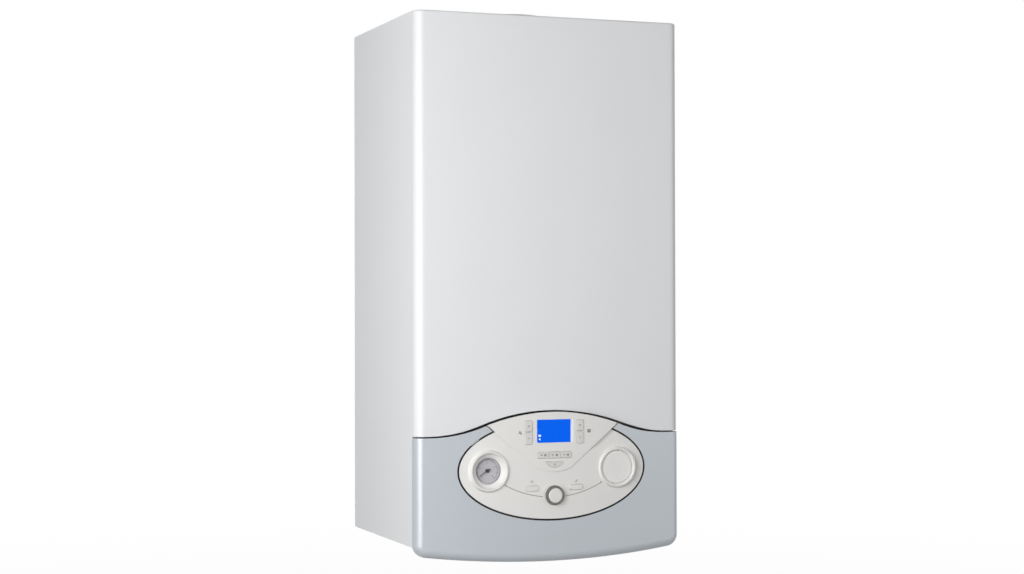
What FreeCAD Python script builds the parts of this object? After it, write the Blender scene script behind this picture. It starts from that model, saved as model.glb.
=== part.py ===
import FreeCAD, Part
import math
import os
from types import SimpleNamespace

import Sketcher
from FreeCAD import Placement, Rotation, Vector

# A wall-hung condensing gas boiler. Millimetres, X to the right, Y into the wall, Z up.
# Every piece is drawn with the wall at Y = 0 and heights from the lowest edge of the fascia,
# then lowered so that the origin lies on the wall, midway between the two hanging slots.

# Driving dimensions: cell name, value, what it measures.
SIZES = [
    ("casing_width", 400, "outside width of the casing"),
    ("casing_height", 770, "lowest edge of the fascia to the top of the casing"),
    ("casing_depth", 302, "wall to the flat front of the cover"),
    ("front_depth", 20, "depth of the cover and of the fascia's sides"),
    ("side_floor", 25, "lower edge of the side panels"),
    ("sheet_gauge", 1.2, "thickness of the casing sheet"),
    ("seat_gap", 0.3, "play between pieces that seat on each other"),
    ("hang_drop", 40, "top of the casing down to the hanging slots"),
    ("hang_spacing", 300, "distance between the hanging slots"),
    ("hang_slot_length", 24, "length of a hanging slot"),
    ("hang_slot_width", 10, "width of a hanging slot"),
    ("foot_spacing", 320, "distance between the lower wall screws"),
    ("foot_height", 110, "height of the lower wall screws"),
    ("foot_hole_radius", 4, "lower wall screw hole"),
    ("frame_flange", 24, "forward fold of the rear frame"),
    ("window_width", 200, "opening in the rear frame"),
    ("window_floor", 72, "lower edge of that opening"),
    ("window_height", 96, "height of that opening"),
    ("window_corner", 16, "corner radius of that opening"),
    ("notch_width", 260, "pipe notch in the rear frame"),
    ("notch_height", 20, "height of the pipe notch"),
    ("front_flange", 18, "inward fold along the front of a side panel"),
    ("floor_flange", 14, "inward fold along the foot of a side panel"),
    ("fold_radius", 1.5, "outer radius of a folded sheet edge"),
    ("heel_radius", 4, "rounded lower rear corner of a side panel"),
    ("hook_spacing", 220, "distance between the cover's hooks"),
    ("hook_width", 20, "width of a hook"),
    ("hook_drop", 14, "top of the casing down to the hooks"),
    ("hook_play", 2, "room round a hook in its slot"),
    ("arch_height", 211.6, "joint of cover and fascia at mid width"),
    ("shoulder_height", 178.3, "the same joint at the sides"),
    ("shoulder_flat", 20, "level stretch of that joint at each side"),
    ("arch_radius", 292, "radius of that joint at mid width"),
    ("joint_gap", 2, "open gap between cover and fascia"),
    ("cover_round", 13, "rounding of the cover's upright edges"),
    ("cover_edge", 3, "rounding of the cover's upper edge"),
    ("fascia_bow", 13, "how far the fascia bulges at mid width"),
    ("fascia_wall", 2.5, "wall of the fascia"),
    ("fascia_round", 12, "rounding of the fascia's sides and foot"),
    ("fascia_smile", 1500, "radius of the fascia's lower edge"),
    ("fascia_corner", 18, "lower corners of the fascia, seen from the front"),
    ("oval_height", 130, "centre of the oval panel"),
    ("oval_half_width", 140.2, "half width of the oval panel"),
    ("oval_half_height", 70, "half height of the oval panel"),
    ("oval_gap", 1.6, "open gap round the oval panel"),
    ("panel_wall", 3.5, "thickness of the oval panel"),
    ("shield_rise", 0.8, "how far the display shield stands proud"),
    ("shield_top_half", 98.7, "half width of the shield at its top"),
    ("shield_low_half", 25.4, "half width of the shield where its foot rounds"),
    ("shield_low_height", 132.3, "height where its foot rounds"),
    ("shield_foot_radius", 63, "radius of the shield's foot"),
    ("dial_offset", 97, "gauge and timer blank from the middle"),
    ("dial_height", 130, "height of the gauge and timer blank"),
    ("ring_radius", 30, "outer radius of the two raised rings"),
    ("ring_rise", 4.6, "how far the rings stand proud"),
    ("ring_crest", 26.5, "radius of the rings' crest"),
    ("ring_bore", 23.5, "inner radius of the rings"),
    ("gauge_cone", 18.6, "radius at the foot of the gauge's sloping surround"),
    ("gauge_sink", 5, "depth of the gauge glass below the ring"),
    ("gauge_can_depth", 15, "depth of the gauge behind its dial"),
    ("glass_wall", 1.5, "thickness of the gauge glass"),
    ("needle_room", 3, "space between gauge glass and dial"),
    ("needle_length", 14.5, "gauge needle, hub to tip"),
    ("hub_radius", 2.6, "hub of the gauge needle"),
    ("pivot_radius", 0.8, "pivot of the gauge needle"),
    ("running_gap", 0.08, "radial play of pivots and shafts"),
    ("button_play", 0.35, "gap round a button"),
    ("button_rise", 1.1, "how far a button stands proud"),
    ("button_lip", 1.2, "retaining lip behind the panel"),
    ("knob_height", 93.5, "height of the knob's axis"),
    ("knob_radius", 14.1, "outer radius of the knob"),
    ("knob_rise", 4, "how far the knob stands proud"),
    ("cap_radius", 10.4, "radius of the pale cap in the knob"),
    ("cap_sink", 2.5, "depth of the cap in the knob"),
    ("spindle_radius", 3, "encoder spindle"),
    ("screen_width", 52, "visible width of the display"),
    ("screen_height", 32, "visible height of the display"),
    ("screen_centre", 183.8, "height of the display's middle"),
    ("window_wall", 2, "thickness of the display window"),
    ("lcd_wall", 6, "thickness of the display module"),
    ("board_wall", 1.6, "thickness of the circuit boards"),
    ("board_half_width", 62, "half width of the display board"),
    ("board_floor", 80, "lower edge of the display board"),
    ("board_top", 203, "upper edge of the display board"),
    ("boss_radius", 5, "screw bosses in the fascia"),
    ("boss_inset", 10, "screw bosses in from the ends of the control box"),
    ("boss_low", 62, "height of the lower screw bosses"),
    ("boss_high", 150, "height of the upper screw bosses"),
    ("box_side_room", 35, "side of the casing to the control box"),
    ("box_floor", 46, "underside of the control box"),
    ("box_top", 160, "top of the control box"),
    ("box_inset", 6, "front of the control box inside the fascia"),
    ("box_depth", 56, "depth of the control box"),
    ("box_wall", 2.5, "wall of the control box"),
    ("box_corner", 8, "rounded upright corners of the control box"),
    ("post_radius", 4, "posts under the main board"),
    ("post_length", 8, "length of those posts"),
    ("pivot_height", 21, "height of the tilt axis"),
    ("pivot_inset", 1, "tilt axis in front of the side panels"),
    ("pin_radius", 3, "tilt pins"),
    ("ear_radius", 6.2, "eyes round the tilt pins"),
    ("ear_wall", 4, "thickness of the control box's ears"),
    ("bracket_wall", 2, "thickness of the tilt brackets"),
    ("bracket_height", 46, "top of the tilt brackets"),
    ("bracket_reach", 26, "length of a tilt bracket behind its pin"),
    ("vessel_radius", 168, "expansion vessel"),
    ("vessel_depth", 84, "thickness of the expansion vessel"),
    ("vessel_drop", 212, "top of the casing down to the vessel's centre"),
    ("vessel_round", 26, "rounded rims of the vessel"),
    ("seam_rise", 4, "pressed seam round the vessel"),
    ("seam_width", 7, "width of that seam"),
    ("chamber_height", 405.02, "height of the sealed chamber"),
    ("chamber_back", 90, "wall to the back of the sealed chamber"),
    ("chamber_inset", 15, "front of the chamber behind the side panels' front"),
    ("chamber_rim", 36, "front flange of the chamber"),
    ("lid_margin", 22, "chamber lid inside the casing's sides"),
    ("lid_rise", 7, "pressed depth of the chamber lid"),
    ("drum_radius", 105, "heat exchanger drum"),
    ("drum_drop", 195, "top of the casing down to the drum's axis"),
    ("drum_offset", 60, "drum's axis from the middle"),
    ("fire_radius", 42, "fire space in the drum"),
    ("fire_floor", 14, "back wall of the fire space"),
    ("burner_radius", 33, "burner tube"),
    ("burner_wall", 1.5, "wall of the burner tube"),
    ("door_radius", 88, "burner door"),
    ("door_wall", 12, "thickness of the burner door"),
    ("duct_height", 42, "height of the door's mixture duct"),
    ("fan_radius", 52, "fan housing"),
    ("fan_width", 34, "thickness of the fan housing"),
    ("fan_wall", 3, "wall of the fan housing"),
    ("fan_offset", -110, "fan's axis from the middle"),
    ("fan_fall", 105.02, "drum axis down to the fan's axis"),
    ("fan_throat", 32, "width of the fan outlet"),
    ("wheel_radius", 44, "fan wheel"),
    ("wheel_eye", 22, "inlet eye of the fan wheel"),
    ("blade_wall", 1.6, "thickness of a fan blade"),
    ("fan_motor_radius", 36, "fan motor"),
    ("fan_motor_length", 28, "length of the fan motor"),
    ("shaft_radius", 4, "fan and pump shafts"),
    ("mixer_length", 46, "air and gas mixer"),
    ("mixer_throat", 15, "narrowest bore of the mixer"),
    ("mixer_mouth", 24, "inlet bore of the mixer"),
    ("mixer_wall", 3, "wall of the mixer"),
    ("flue_axis", 145, "wall to the flue's axis"),
    ("flue_bore", 30.2, "bore of the flue socket"),
    ("flue_wall", 2.4, "wall of the flue pipe"),
    ("flue_rise", 18, "height of the flue socket above the casing"),
    ("air_radius", 50, "outer radius of the air sleeve"),
    ("air_wall", 2, "wall of the air sleeve"),
    ("air_flange", 66, "radius of the flue collar's flange"),
    ("water_radius", 9, "outer radius of the water pipes"),
    ("gas_radius", 7.5, "outer radius of the gas pipes"),
    ("pipe_wall", 1, "wall of the pipes"),
    ("bend_radius", 22, "bends of the pipes"),
    ("rail_height", 50, "underside of the pipe rail"),
    ("rail_wall", 2, "thickness of the pipe rail"),
    ("rail_lip", 16, "folded edges of the pipe rail"),
    ("tail_pitch", 67, "distance between connection tails"),
    ("tail_axis", 150, "wall to the connection tails"),
    ("tail_radius", 13.2, "heating and gas tails"),
    ("tap_tail_radius", 10.4, "tap water tails"),
    ("tail_drop", 24, "length of a tail below the rail"),
    ("tail_bore", 8, "bore of the tails"),
    ("block_half_depth", 34, "half depth of the water blocks"),
    ("block_height", 56, "height of the water blocks"),
    ("block_wing", 24, "overhang of a water block past its tails"),
    ("valve_radius", 23, "diverter valve barrel"),
    ("valve_height", 78, "diverter valve barrel above its block"),
    ("motor_side", 46, "side of the diverter motor"),
    ("motor_height", 58, "height of the diverter motor"),
    ("plate_pitch", 3, "pitch of those plates"),
    ("plate_wall", 2, "thickness of a plate's rim"),
    ("plate_half_width", 98, "half width of those plates"),
    ("plate_height", 74, "height of those plates"),
    ("pump_offset", 122, "pump's axis from the middle"),
    ("pump_height", 176, "height of the pump's axis"),
    ("volute_radius", 46, "pump housing"),
    ("volute_width", 50, "length of the pump housing"),
    ("impeller_radius", 34, "pump impeller"),
    ("impeller_width", 14, "thickness of the pump impeller"),
    ("impeller_room", 3, "space round the impeller"),
    ("pump_motor_radius", 43, "pump motor"),
    ("service_gap", 9, "room between the inner pieces and the control box"),
    ("gas_valve_half", 30, "half width of the gas valve"),
    ("gas_valve_height", 84, "height of the gas valve"),
    ("gas_valve_drop", 68, "chamber floor down to the gas valve"),
    ("trap_radius", 16, "condensate trap"),
    ("trap_height", 150, "length of the condensate trap"),
    ("trap_offset", -60, "trap from the middle"),
    ("trap_spigot", 10, "outlet spigot of the trap"),
    ("trap_spigot_length", 26, "length of that spigot"),
    ("relief_radius", 12, "safety valve body"),
    ("relief_cap_radius", 14, "cap of the safety valve"),
    ("tap_radius", 12, "handle of the filling tap"),
    ("tap_length", 18, "length of that handle"),
    ("spigot_rise", 20, "flue spigot above the drum"),
    ("spigot_drop", 15, "water spigots below the drum"),
    ("spigot_wall", 2, "spigot radius beyond its pipe's"),
    ("outlet_rise", 14, "pump outlet above its housing"),
    ("collar_height", 6, "collar of the gas tail"),
    ("collar_width", 4, "collars beyond their pipe"),
    ("riser_setback", 15, "water pipes behind the tails, the drain before them"),
    ("riser_left", 20, "flow pipe right of the middle, at the drum"),
    ("riser_right", 110, "return pipe right of the middle"),
    ("flow_landing", 90, "flow pipe left of the middle, at its block"),
    ("drain_offset", 40, "drain right of the middle"),
    ("turn_room", 31, "bends away from the chamber's floor"),
    ("neck_inset", 5, "pump neck in from the housing's ends"),
    ("plate_half_height", 8, "half height of the electrode plate"),
    ("plate_corner", 3, "corners of small plates and boards"),
    ("flute_radius", 2.5, "grip flutes of the filling tap"),
    ("low_post_offset", 52, "lower posts of the control panel from the middle"),
    ("low_post_height", 74, "height of those posts"),
    ("high_post_offset", 126, "upper posts of the control panel from the middle"),
    ("high_post_height", 150, "height of those posts"),
    ("bar_gap", 12, "control box up to the cross bar"),
    ("bar_overlap", 14, "cross bar above the arch"),
    ("bar_flange", 12, "depth of the cross bar"),
    ("rim_flat", 1, "half width of a ring's crest, and small steps"),
    ("small_pipe_radius", 5, "pipe of the expansion vessel"),
]

doc = FreeCAD.newDocument("Boiler")
sheet = doc.addObject("Spreadsheet::Sheet", "Sizes")


class Size:
    """A length held twice: its number now, and the sheet formula that drives it."""

    def __init__(self, number, formula):
        self.number = float(number)
        self.formula = formula

    def __add__(self, other):
        other = as_size(other)
        return Size(self.number + other.number, f"({self.formula} + {other.formula})")

    def __sub__(self, other):
        other = as_size(other)
        return Size(self.number - other.number, f"({self.formula} - {other.formula})")

    def __mul__(self, other):
        other = as_size(other)
        return Size(self.number * other.number, f"({self.formula} * {other.formula})")

    def __truediv__(self, other):
        other = as_size(other)
        return Size(self.number / other.number, f"({self.formula} / {other.formula})")

    def __neg__(self):
        return Size(-self.number, f"(0 - {self.formula})")

    def __rsub__(self, other):
        return as_size(other) - self

    __radd__ = __add__
    __rmul__ = __mul__

    def root(self):
        """Square root."""
        return Size(math.sqrt(self.number), f"sqrt({self.formula})")


def as_size(value):
    """A plain number as a size."""
    return value if isinstance(value, Size) else Size(value, f"({float(value)})")


def fill_sheet():
    """Write the driving dimensions into the sheet and return them by name."""
    named = {}
    for row, (alias, value, meaning) in enumerate(SIZES, start=1):
        sheet.set(f"A{row}", alias)
        sheet.set(f"B{row}", str(value))
        sheet.set(f"C{row}", meaning)
        sheet.setAlias(f"B{row}", alias)
        named[alias] = Size(value, f"Sizes.{alias}")
    doc.recompute()
    return SimpleNamespace(**named)


d = fill_sheet()
sub_parts = []


def bind(thing, prop, size):
    """Drive a property by a size."""
    thing.setExpression(prop, as_size(size).formula)


def place(thing, x=0, y=0, z=0):
    """Drive a placement; heights count from the lowest edge of the fascia."""
    bind(thing, "Placement.Base.x", x)
    bind(thing, "Placement.Base.y", y)
    bind(thing, "Placement.Base.z", z - hang_height)


def new_body(label, x=0, y=0, z=0, kept=True):
    """An empty body, listed as a sub-part unless it is only a tool."""
    body = doc.addObject("PartDesign::Body", label)
    body.Label = label
    place(body, x, y, z)
    if kept:
        sub_parts.append(body)
    return body


def origin_feature(body, role):
    """A plane or an axis of the body's own origin."""
    return next(item for item in body.Origin.OriginFeatures if item.Role == role)


def sketch_on(body, plane, offset=0):
    """A sketch on an origin plane, shifted along the plane's normal."""
    sketch = body.newObject("Sketcher::SketchObject", f"{body.Label}_sketch")
    sketch.AttachmentSupport = [(origin_feature(body, plane), "")]
    sketch.MapMode = "FlatFace"
    bind(sketch, "AttachmentOffset.Base.z", offset)
    return sketch


def pin_point(sketch, geometry, point, u, v):
    """Hold one point of a sketch at u, v from its origin."""
    for kind, size in (("DistanceX", as_size(u)), ("DistanceY", as_size(v))):
        index = sketch.addConstraint(Sketcher.Constraint(kind, -1, 1, geometry, point, size.number))
        bind(sketch, f"Constraints[{index}]", size)


def arc_middle(start, end, radius, turn):
    """Middle of the shorter arc from start to end; turn +1 runs anticlockwise."""
    chord = end - start
    half = chord.Length / 2
    rise = radius - math.sqrt(max(radius ** 2 - half ** 2, 0))
    right = Vector(chord.y, -chord.x, 0).normalize()
    return start + chord / 2 + right * (rise * turn)


def draw_loop(sketch, corners):
    """A closed outline. A corner is (u, v), or (u, v, radius, turn) where an arc starts."""
    spots = [Vector(as_size(c[0]).number, as_size(c[1]).number, 0) for c in corners]
    ends = []
    for index, corner in enumerate(corners):
        start = spots[index]
        end = spots[(index + 1) % len(spots)]
        if len(corner) == 2:
            edge = sketch.addGeometry(Part.LineSegment(start, end), False)
        else:
            radius = as_size(corner[2])
            middle = arc_middle(start, end, radius.number, corner[3])
            edge = sketch.addGeometry(Part.Arc(start, middle, end), False)
            held = sketch.addConstraint(Sketcher.Constraint("Radius", edge, radius.number))
            bind(sketch, f"Constraints[{held}]", radius)
        first_gap = sketch.getPoint(edge, 1).distanceToPoint(start)
        last_gap = sketch.getPoint(edge, 2).distanceToPoint(start)
        ends.append((edge, 1, 2) if first_gap < last_gap else (edge, 2, 1))
    for index, (edge, first, last) in enumerate(ends):
        follower, follower_first, _ = ends[(index + 1) % len(ends)]
        sketch.addConstraint(Sketcher.Constraint("Coincident", edge, last, follower, follower_first))
        pin_point(sketch, edge, first, corners[index][0], corners[index][1])


def draw_circle(sketch, u, v, radius):
    """A circle held by its centre and radius."""
    radius = as_size(radius)
    centre = Vector(as_size(u).number, as_size(v).number, 0)
    circle = sketch.addGeometry(Part.Circle(centre, Vector(0, 0, 1), radius.number), False)
    pin_point(sketch, circle, 3, u, v)
    held = sketch.addConstraint(Sketcher.Constraint("Radius", circle, radius.number))
    bind(sketch, f"Constraints[{held}]", radius)


def rectangle(u0, u1, v0, v1):
    """Corners of a rectangle."""
    return [(u0, v0), (u1, v0), (u1, v1), (u0, v1)]


def soft_rectangle(u0, u1, v0, v1, r):
    """Corners of a rectangle with rounded corners."""
    return [(u0 + r, v0), (u1 - r, v0, r, 1), (u1, v0 + r), (u1, v1 - r, r, 1),
            (u1 - r, v1), (u0 + r, v1, r, 1), (u0, v1 - r), (u0, v0 + r, r, 1)]


def level_slot(u, v, length, width):
    """Corners of a level slot with round ends."""
    r = width / 2
    run = length / 2 - r
    return [(u - run, v - r), (u + run, v - r, r, 1), (u + run + r, v, r, 1),
            (u + run, v + r), (u - run, v + r, r, 1), (u - run - r, v, r, 1)]


def pad(body, sketch, length):
    """Raise a sketch along its plane's normal."""
    feature = body.newObject("PartDesign::Pad", f"{body.Label}_pad")
    feature.Profile = sketch
    bind(feature, "Length", length)
    return feature


def pad_loops(body, plane, offset, length, *loops):
    """Raise outlines drawn on a shifted origin plane."""
    sketch = sketch_on(body, plane, offset)
    for corners in loops:
        draw_loop(sketch, corners)
    return pad(body, sketch, length)


def pad_circle(body, plane, offset, length, u, v, radius):
    """Raise a round boss."""
    sketch = sketch_on(body, plane, offset)
    draw_circle(sketch, u, v, radius)
    return pad(body, sketch, length)


def pocket(body, sketch, depth):
    """Sink a sketch along its plane's normal, and make sure that it cuts."""
    doc.recompute()
    before = body.Shape.Volume
    feature = body.newObject("PartDesign::Pocket", f"{body.Label}_pocket")
    feature.Profile = sketch
    feature.Reversed = True
    bind(feature, "Length", depth)
    doc.recompute()
    if not body.Shape.Volume < before:
        raise RuntimeError(f"a pocket of {body.Label} cuts nothing")
    return feature


def pocket_loops(body, plane, offset, depth, *loops):
    """Sink outlines drawn on a shifted origin plane."""
    sketch = sketch_on(body, plane, offset)
    for corners in loops:
        draw_loop(sketch, corners)
    return pocket(body, sketch, depth)


def pocket_circles(body, plane, offset, depth, *circles):
    """Sink round holes given as (u, v, radius)."""
    sketch = sketch_on(body, plane, offset)
    for u, v, radius in circles:
        draw_circle(sketch, u, v, radius)
    return pocket(body, sketch, depth)


def revolve(body, axis, *loops):
    """Turn outlines of (radius, place along the axis) round the body's Y or Z axis."""
    sketch = sketch_on(body, "XY_Plane" if axis == "Y" else "XZ_Plane")
    for corners in loops:
        draw_loop(sketch, corners)
    feature = body.newObject("PartDesign::Revolution", f"{body.Label}_turning")
    feature.Profile = sketch
    feature.ReferenceAxis = (origin_feature(body, f"{axis}_Axis"), [""])
    return feature


def edge_points(edge):
    """Start, middle and end of an edge."""
    first, last = edge.ParameterRange
    return [edge.valueAt(first + (last - first) * share) for share in (0, 0.5, 1)]


def round_edges(body, radius, chosen):
    """Round those edges of the body's last feature whose start, middle and end are chosen."""
    doc.recompute()
    base = body.Tip
    names = []
    for index, edge in enumerate(base.Shape.Edges, start=1):
        if chosen(edge_points(edge)):
            names.append(f"Edge{index}")
    feature = body.newObject("PartDesign::Fillet", f"{body.Label}_rounding")
    feature.Base = (base, names)
    bind(feature, "Radius", radius)
    doc.recompute()
    return feature


def hollow(body, wall, open_plane):
    """Shell the body inwards, open at the flat face on Y = open_plane."""
    doc.recompute()
    base = body.Tip
    names = []
    for index, face in enumerate(base.Shape.Faces, start=1):
        box = face.BoundBox
        if abs(box.YMin - open_plane) < TOUCH and abs(box.YMax - open_plane) < TOUCH:
            names.append(f"Face{index}")
    feature = body.newObject("PartDesign::Thickness", f"{body.Label}_shell")
    feature.Base = (base, names)
    feature.Reversed = True
    bind(feature, "Value", wall)
    doc.recompute()
    return feature


def combine(kind, label, pieces, kept=True):
    """A boolean of finished pieces."""
    result = doc.addObject(f"Part::{kind}", label)
    result.Label = label
    if kind == "Cut":
        result.Base = pieces[0]
        result.Tool = pieces[1]
    else:
        result.Shapes = pieces
    if kept:
        sub_parts.append(result)
    return result


def tube(label, points, outer, inner, bend):
    """A bent pipe: straight runs joined by tangent arcs of one radius."""
    spots = [Vector(*(as_size(value).number for value in point)) for point in points]
    edges = []
    begin = spots[0]
    for before, corner, after in zip(spots, spots[1:], spots[2:]):
        inward = (before - corner).normalize()
        outward = (after - corner).normalize()
        turn = math.pi - inward.getAngle(outward)
        setback = bend.number * math.tan(turn / 2)
        first = corner + inward * setback
        last = corner + outward * setback
        halfway = (inward + outward).normalize()
        middle = corner + halfway * (bend.number / math.cos(turn / 2) - bend.number)
        edges.append(Part.LineSegment(begin, first).toShape())
        edges.append(Part.Arc(first, middle, last).toShape())
        begin = last
    edges.append(Part.LineSegment(begin, spots[-1]).toShape())
    path = Part.Wire(edges)
    heading = (spots[1] - spots[0]).normalize()

    def swept(radius):
        ring = Part.Wire(Part.makeCircle(radius.number, spots[0], heading))
        return path.makePipeShell([ring], True, False)

    piece = doc.addObject("Part::Feature", label)
    piece.Label = label
    piece.Shape = swept(outer).cut(swept(inner)) if inner else swept(outer)
    piece.Placement = Placement(Vector(0, 0, -hang_height.number), Rotation())
    sub_parts.append(piece)
    return piece


# How closely a face or an edge has to lie on a plane to count as lying on it.
TOUCH = 0.05
# Tools for cutting reach this far past what they cut.
PAST = 40

# Places that several pieces share.
half_width = d.casing_width / 2
hang_height = d.casing_height - d.hang_drop
joint_plane = d.casing_depth - d.front_depth
web_inner = half_width - d.sheet_gauge
frame_half = web_inner - d.seat_gap
roof = d.casing_height - d.sheet_gauge
bow_radius = (half_width * half_width + d.fascia_bow * d.fascia_bow) / (2 * d.fascia_bow)
front_most = d.casing_depth + d.fascia_bow
box_front = joint_plane + d.box_inset
box_rear = box_front - d.box_depth
box_half = half_width - d.box_side_room
boss_offset = box_half - d.boss_inset
chamber_floor = d.casing_height - d.chamber_height
chamber_front = joint_plane - d.chamber_inset
inner_back = d.chamber_back + d.sheet_gauge
drum_height = d.casing_height - d.drum_drop
fan_height = drum_height - d.fan_fall
rail_top = d.rail_height + d.rail_wall
block_floor = rail_top + d.seat_gap
block_top = block_floor + d.block_height
block_front = d.tail_axis + d.block_half_depth
block_rear = d.tail_axis - d.block_half_depth


def bow_depth(x):
    """Distance from the wall to the bowed front at x, close to the true arc."""
    return front_most - x * x / (2 * bow_radius)


def joint_curve(shift):
    """The S-shaped joint of cover and fascia, raised by shift, from left to right."""
    run = half_width - d.shoulder_flat
    rise = d.arch_height - d.shoulder_height
    both = (run * run + rise * rise) / (2 * rise)
    arch = d.arch_radius + shift
    shoulder = both - arch
    level = d.shoulder_height + shift
    knee_u = run * arch / both
    knee_v = level + rise - arch + (both - rise) * arch / both
    return [(-run, level, shoulder, 1), (-knee_u, knee_v, arch, -1),
            (knee_u, knee_v, shoulder, 1), (run, level)]


def rear_frame():
    """Folded back sheet that hangs on the wall and carries everything else."""
    body = new_body("rear_frame")
    inner = frame_half - d.sheet_gauge
    folded = [(-frame_half, 0), (-frame_half, -d.frame_flange), (-inner, -d.frame_flange),
              (-inner, -d.sheet_gauge), (inner, -d.sheet_gauge), (inner, -d.frame_flange),
              (frame_half, -d.frame_flange), (frame_half, 0)]
    pad_loops(body, "XY_Plane", d.side_floor, roof - d.seat_gap - d.side_floor, folded)
    slots = [level_slot(side * d.hang_spacing / 2, hang_height, d.hang_slot_length, d.hang_slot_width)
             for side in (-1, 1)]
    half_window = d.window_width / 2
    opening = soft_rectangle(-half_window, half_window, d.window_floor,
                             d.window_floor + d.window_height, d.window_corner)
    half_notch = d.notch_width / 2
    notch = rectangle(-half_notch, half_notch, 0, d.side_floor + d.notch_height)
    pocket_loops(body, "XZ_Plane", 0, 2 * d.sheet_gauge, *slots, opening, notch)
    screws = [(side * d.foot_spacing / 2, d.foot_height, d.foot_hole_radius) for side in (-1, 1)]
    pocket_circles(body, "XZ_Plane", 0, 2 * d.sheet_gauge, *screws)


def side_panel(label, side):
    """Painted side sheet with folds along its front and foot."""
    body = new_body(label)
    inner = half_width - d.front_flange
    back_of_fold = joint_plane - d.sheet_gauge
    folded = [(side * half_width, 0), (side * half_width, -joint_plane), (side * inner, -joint_plane),
              (side * inner, -back_of_fold), (side * web_inner, -back_of_fold), (side * web_inner, 0)]
    pad_loops(body, "XY_Plane", d.side_floor, d.casing_height - d.side_floor, folded)
    foot = rectangle(side * (half_width - d.floor_flange), side * (half_width - d.sheet_gauge / 2),
                     -back_of_fold, -d.frame_flange - d.seat_gap)
    pad_loops(body, "XY_Plane", d.side_floor, d.sheet_gauge, foot)
    edge = half_width.number - TOUCH
    fold = joint_plane.number - TOUCH
    round_edges(body, d.fold_radius, lambda ps: all(side * p.x > edge and -p.y > fold for p in ps))
    low = d.side_floor.number + TOUCH
    round_edges(body, d.heel_radius, lambda ps: all(p.z < low and p.y > -TOUCH for p in ps))


def top_panel():
    """Roof sheet with the flue opening and the slots that the cover hooks into."""
    body = new_body("top_panel")
    tongue = half_width - d.front_flange - d.seat_gap
    back_of_fold = joint_plane - d.sheet_gauge
    shoulder = back_of_fold - d.seat_gap
    outline = [(-frame_half, 0), (-frame_half, -shoulder), (-tongue, -shoulder), (-tongue, -joint_plane),
               (tongue, -joint_plane), (tongue, -shoulder), (frame_half, -shoulder), (frame_half, 0)]
    pad_loops(body, "XY_Plane", roof, d.sheet_gauge, outline)
    drop = 2 * d.hook_drop
    pad_loops(body, "XY_Plane", d.casing_height - drop, drop - d.sheet_gauge / 2,
              rectangle(-tongue, tongue, -joint_plane, -back_of_fold))
    pocket_circles(body, "XY_Plane", roof - d.sheet_gauge, 3 * d.sheet_gauge,
                   (0, -d.flue_axis, d.air_radius + d.seat_gap))
    pocket_loops(body, "XZ_Plane", back_of_fold - d.sheet_gauge, 3 * d.sheet_gauge,
                 *[hook_outline(side, d.hook_play) for side in (-1, 1)])


def hook_outline(side, play):
    """Section of one hook of the cover, grown by some play."""
    middle = side * d.hook_spacing / 2
    reach = d.hook_width / 2 + play
    level = d.casing_height - d.hook_drop
    return rectangle(middle - reach, middle + reach, level - d.sheet_gauge - play, level + play)


def front_cover():
    """Flat pearl cover with rounded edges, an S-shaped foot and two hooks at its top."""
    body = new_body("front_cover")
    rear = joint_plane + d.seat_gap
    r = d.cover_round
    block = [(-half_width, -rear), (-half_width, -(d.casing_depth - r), r, 1),
             (-(half_width - r), -d.casing_depth), (half_width - r, -d.casing_depth, r, 1),
             (half_width, -(d.casing_depth - r)), (half_width, -rear)]
    pad_loops(body, "XY_Plane", d.shoulder_height, d.casing_height - d.shoulder_height, block)
    edge = half_width + PAST
    below = d.shoulder_height - PAST
    curve = joint_curve(d.joint_gap / 2)
    level = curve[0][1]
    cut = [(-edge, level)] + curve + [(edge, level), (edge, below), (-edge, below)]
    pocket_loops(body, "XZ_Plane", 0, d.casing_depth + PAST, cut)
    back = -rear.number - TOUCH
    top = d.casing_height.number - TOUCH
    round_edges(body, d.cover_edge, lambda ps: ps[1].y < back and all(p.z > top for p in ps))
    hollow(body, d.sheet_gauge, -rear.number)
    pad_loops(body, "XZ_Plane", joint_plane - d.hook_drop, d.front_depth + d.hook_drop - d.sheet_gauge / 2,
              *[hook_outline(side, 0) for side in (-1, 1)])


def fascia_foot():
    """Region below the fascia: its smiling lower edge and round corners."""
    r = d.fascia_corner
    smile = d.fascia_smile
    inside = smile - r
    side = half_width - r
    corner = smile - (inside * inside - side * side).root()
    knee_u = side * smile / inside
    knee_v = smile - (smile - corner) * smile / inside
    edge = half_width + PAST
    return [(-half_width, corner, r, 1), (-knee_u, knee_v, smile, 1), (knee_u, knee_v, r, 1),
            (half_width, corner), (edge, corner), (edge, -PAST), (-edge, -PAST), (-edge, corner)]


def shield_outline(grow, open_top):
    """Display shield seen from the front; an opening for it has its top cut free."""
    low = d.shield_low_half + grow
    top = d.shield_top_half + grow
    arch = d.arch_radius - d.joint_gap / 2
    level = d.arch_height - d.joint_gap / 2 - arch + (arch * arch - top * top).root()
    foot = (-low, d.shield_low_height - grow, d.shield_foot_radius, 1)
    if open_top:
        above = d.arch_height + PAST
        return [foot, (low, d.shield_low_height - grow), (top, level), (top, above), (-top, above),
                (-top, level)]
    return [foot, (low, d.shield_low_height), (top, level, arch, 1), (-top, level)]


def shield_block(label, grow, open_top):
    """The shield's outline carried through the whole front."""
    body = new_body(label, kept=False)
    pad_loops(body, "XZ_Plane", joint_plane, d.front_depth + PAST, shield_outline(grow, open_top))
    return body


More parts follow.
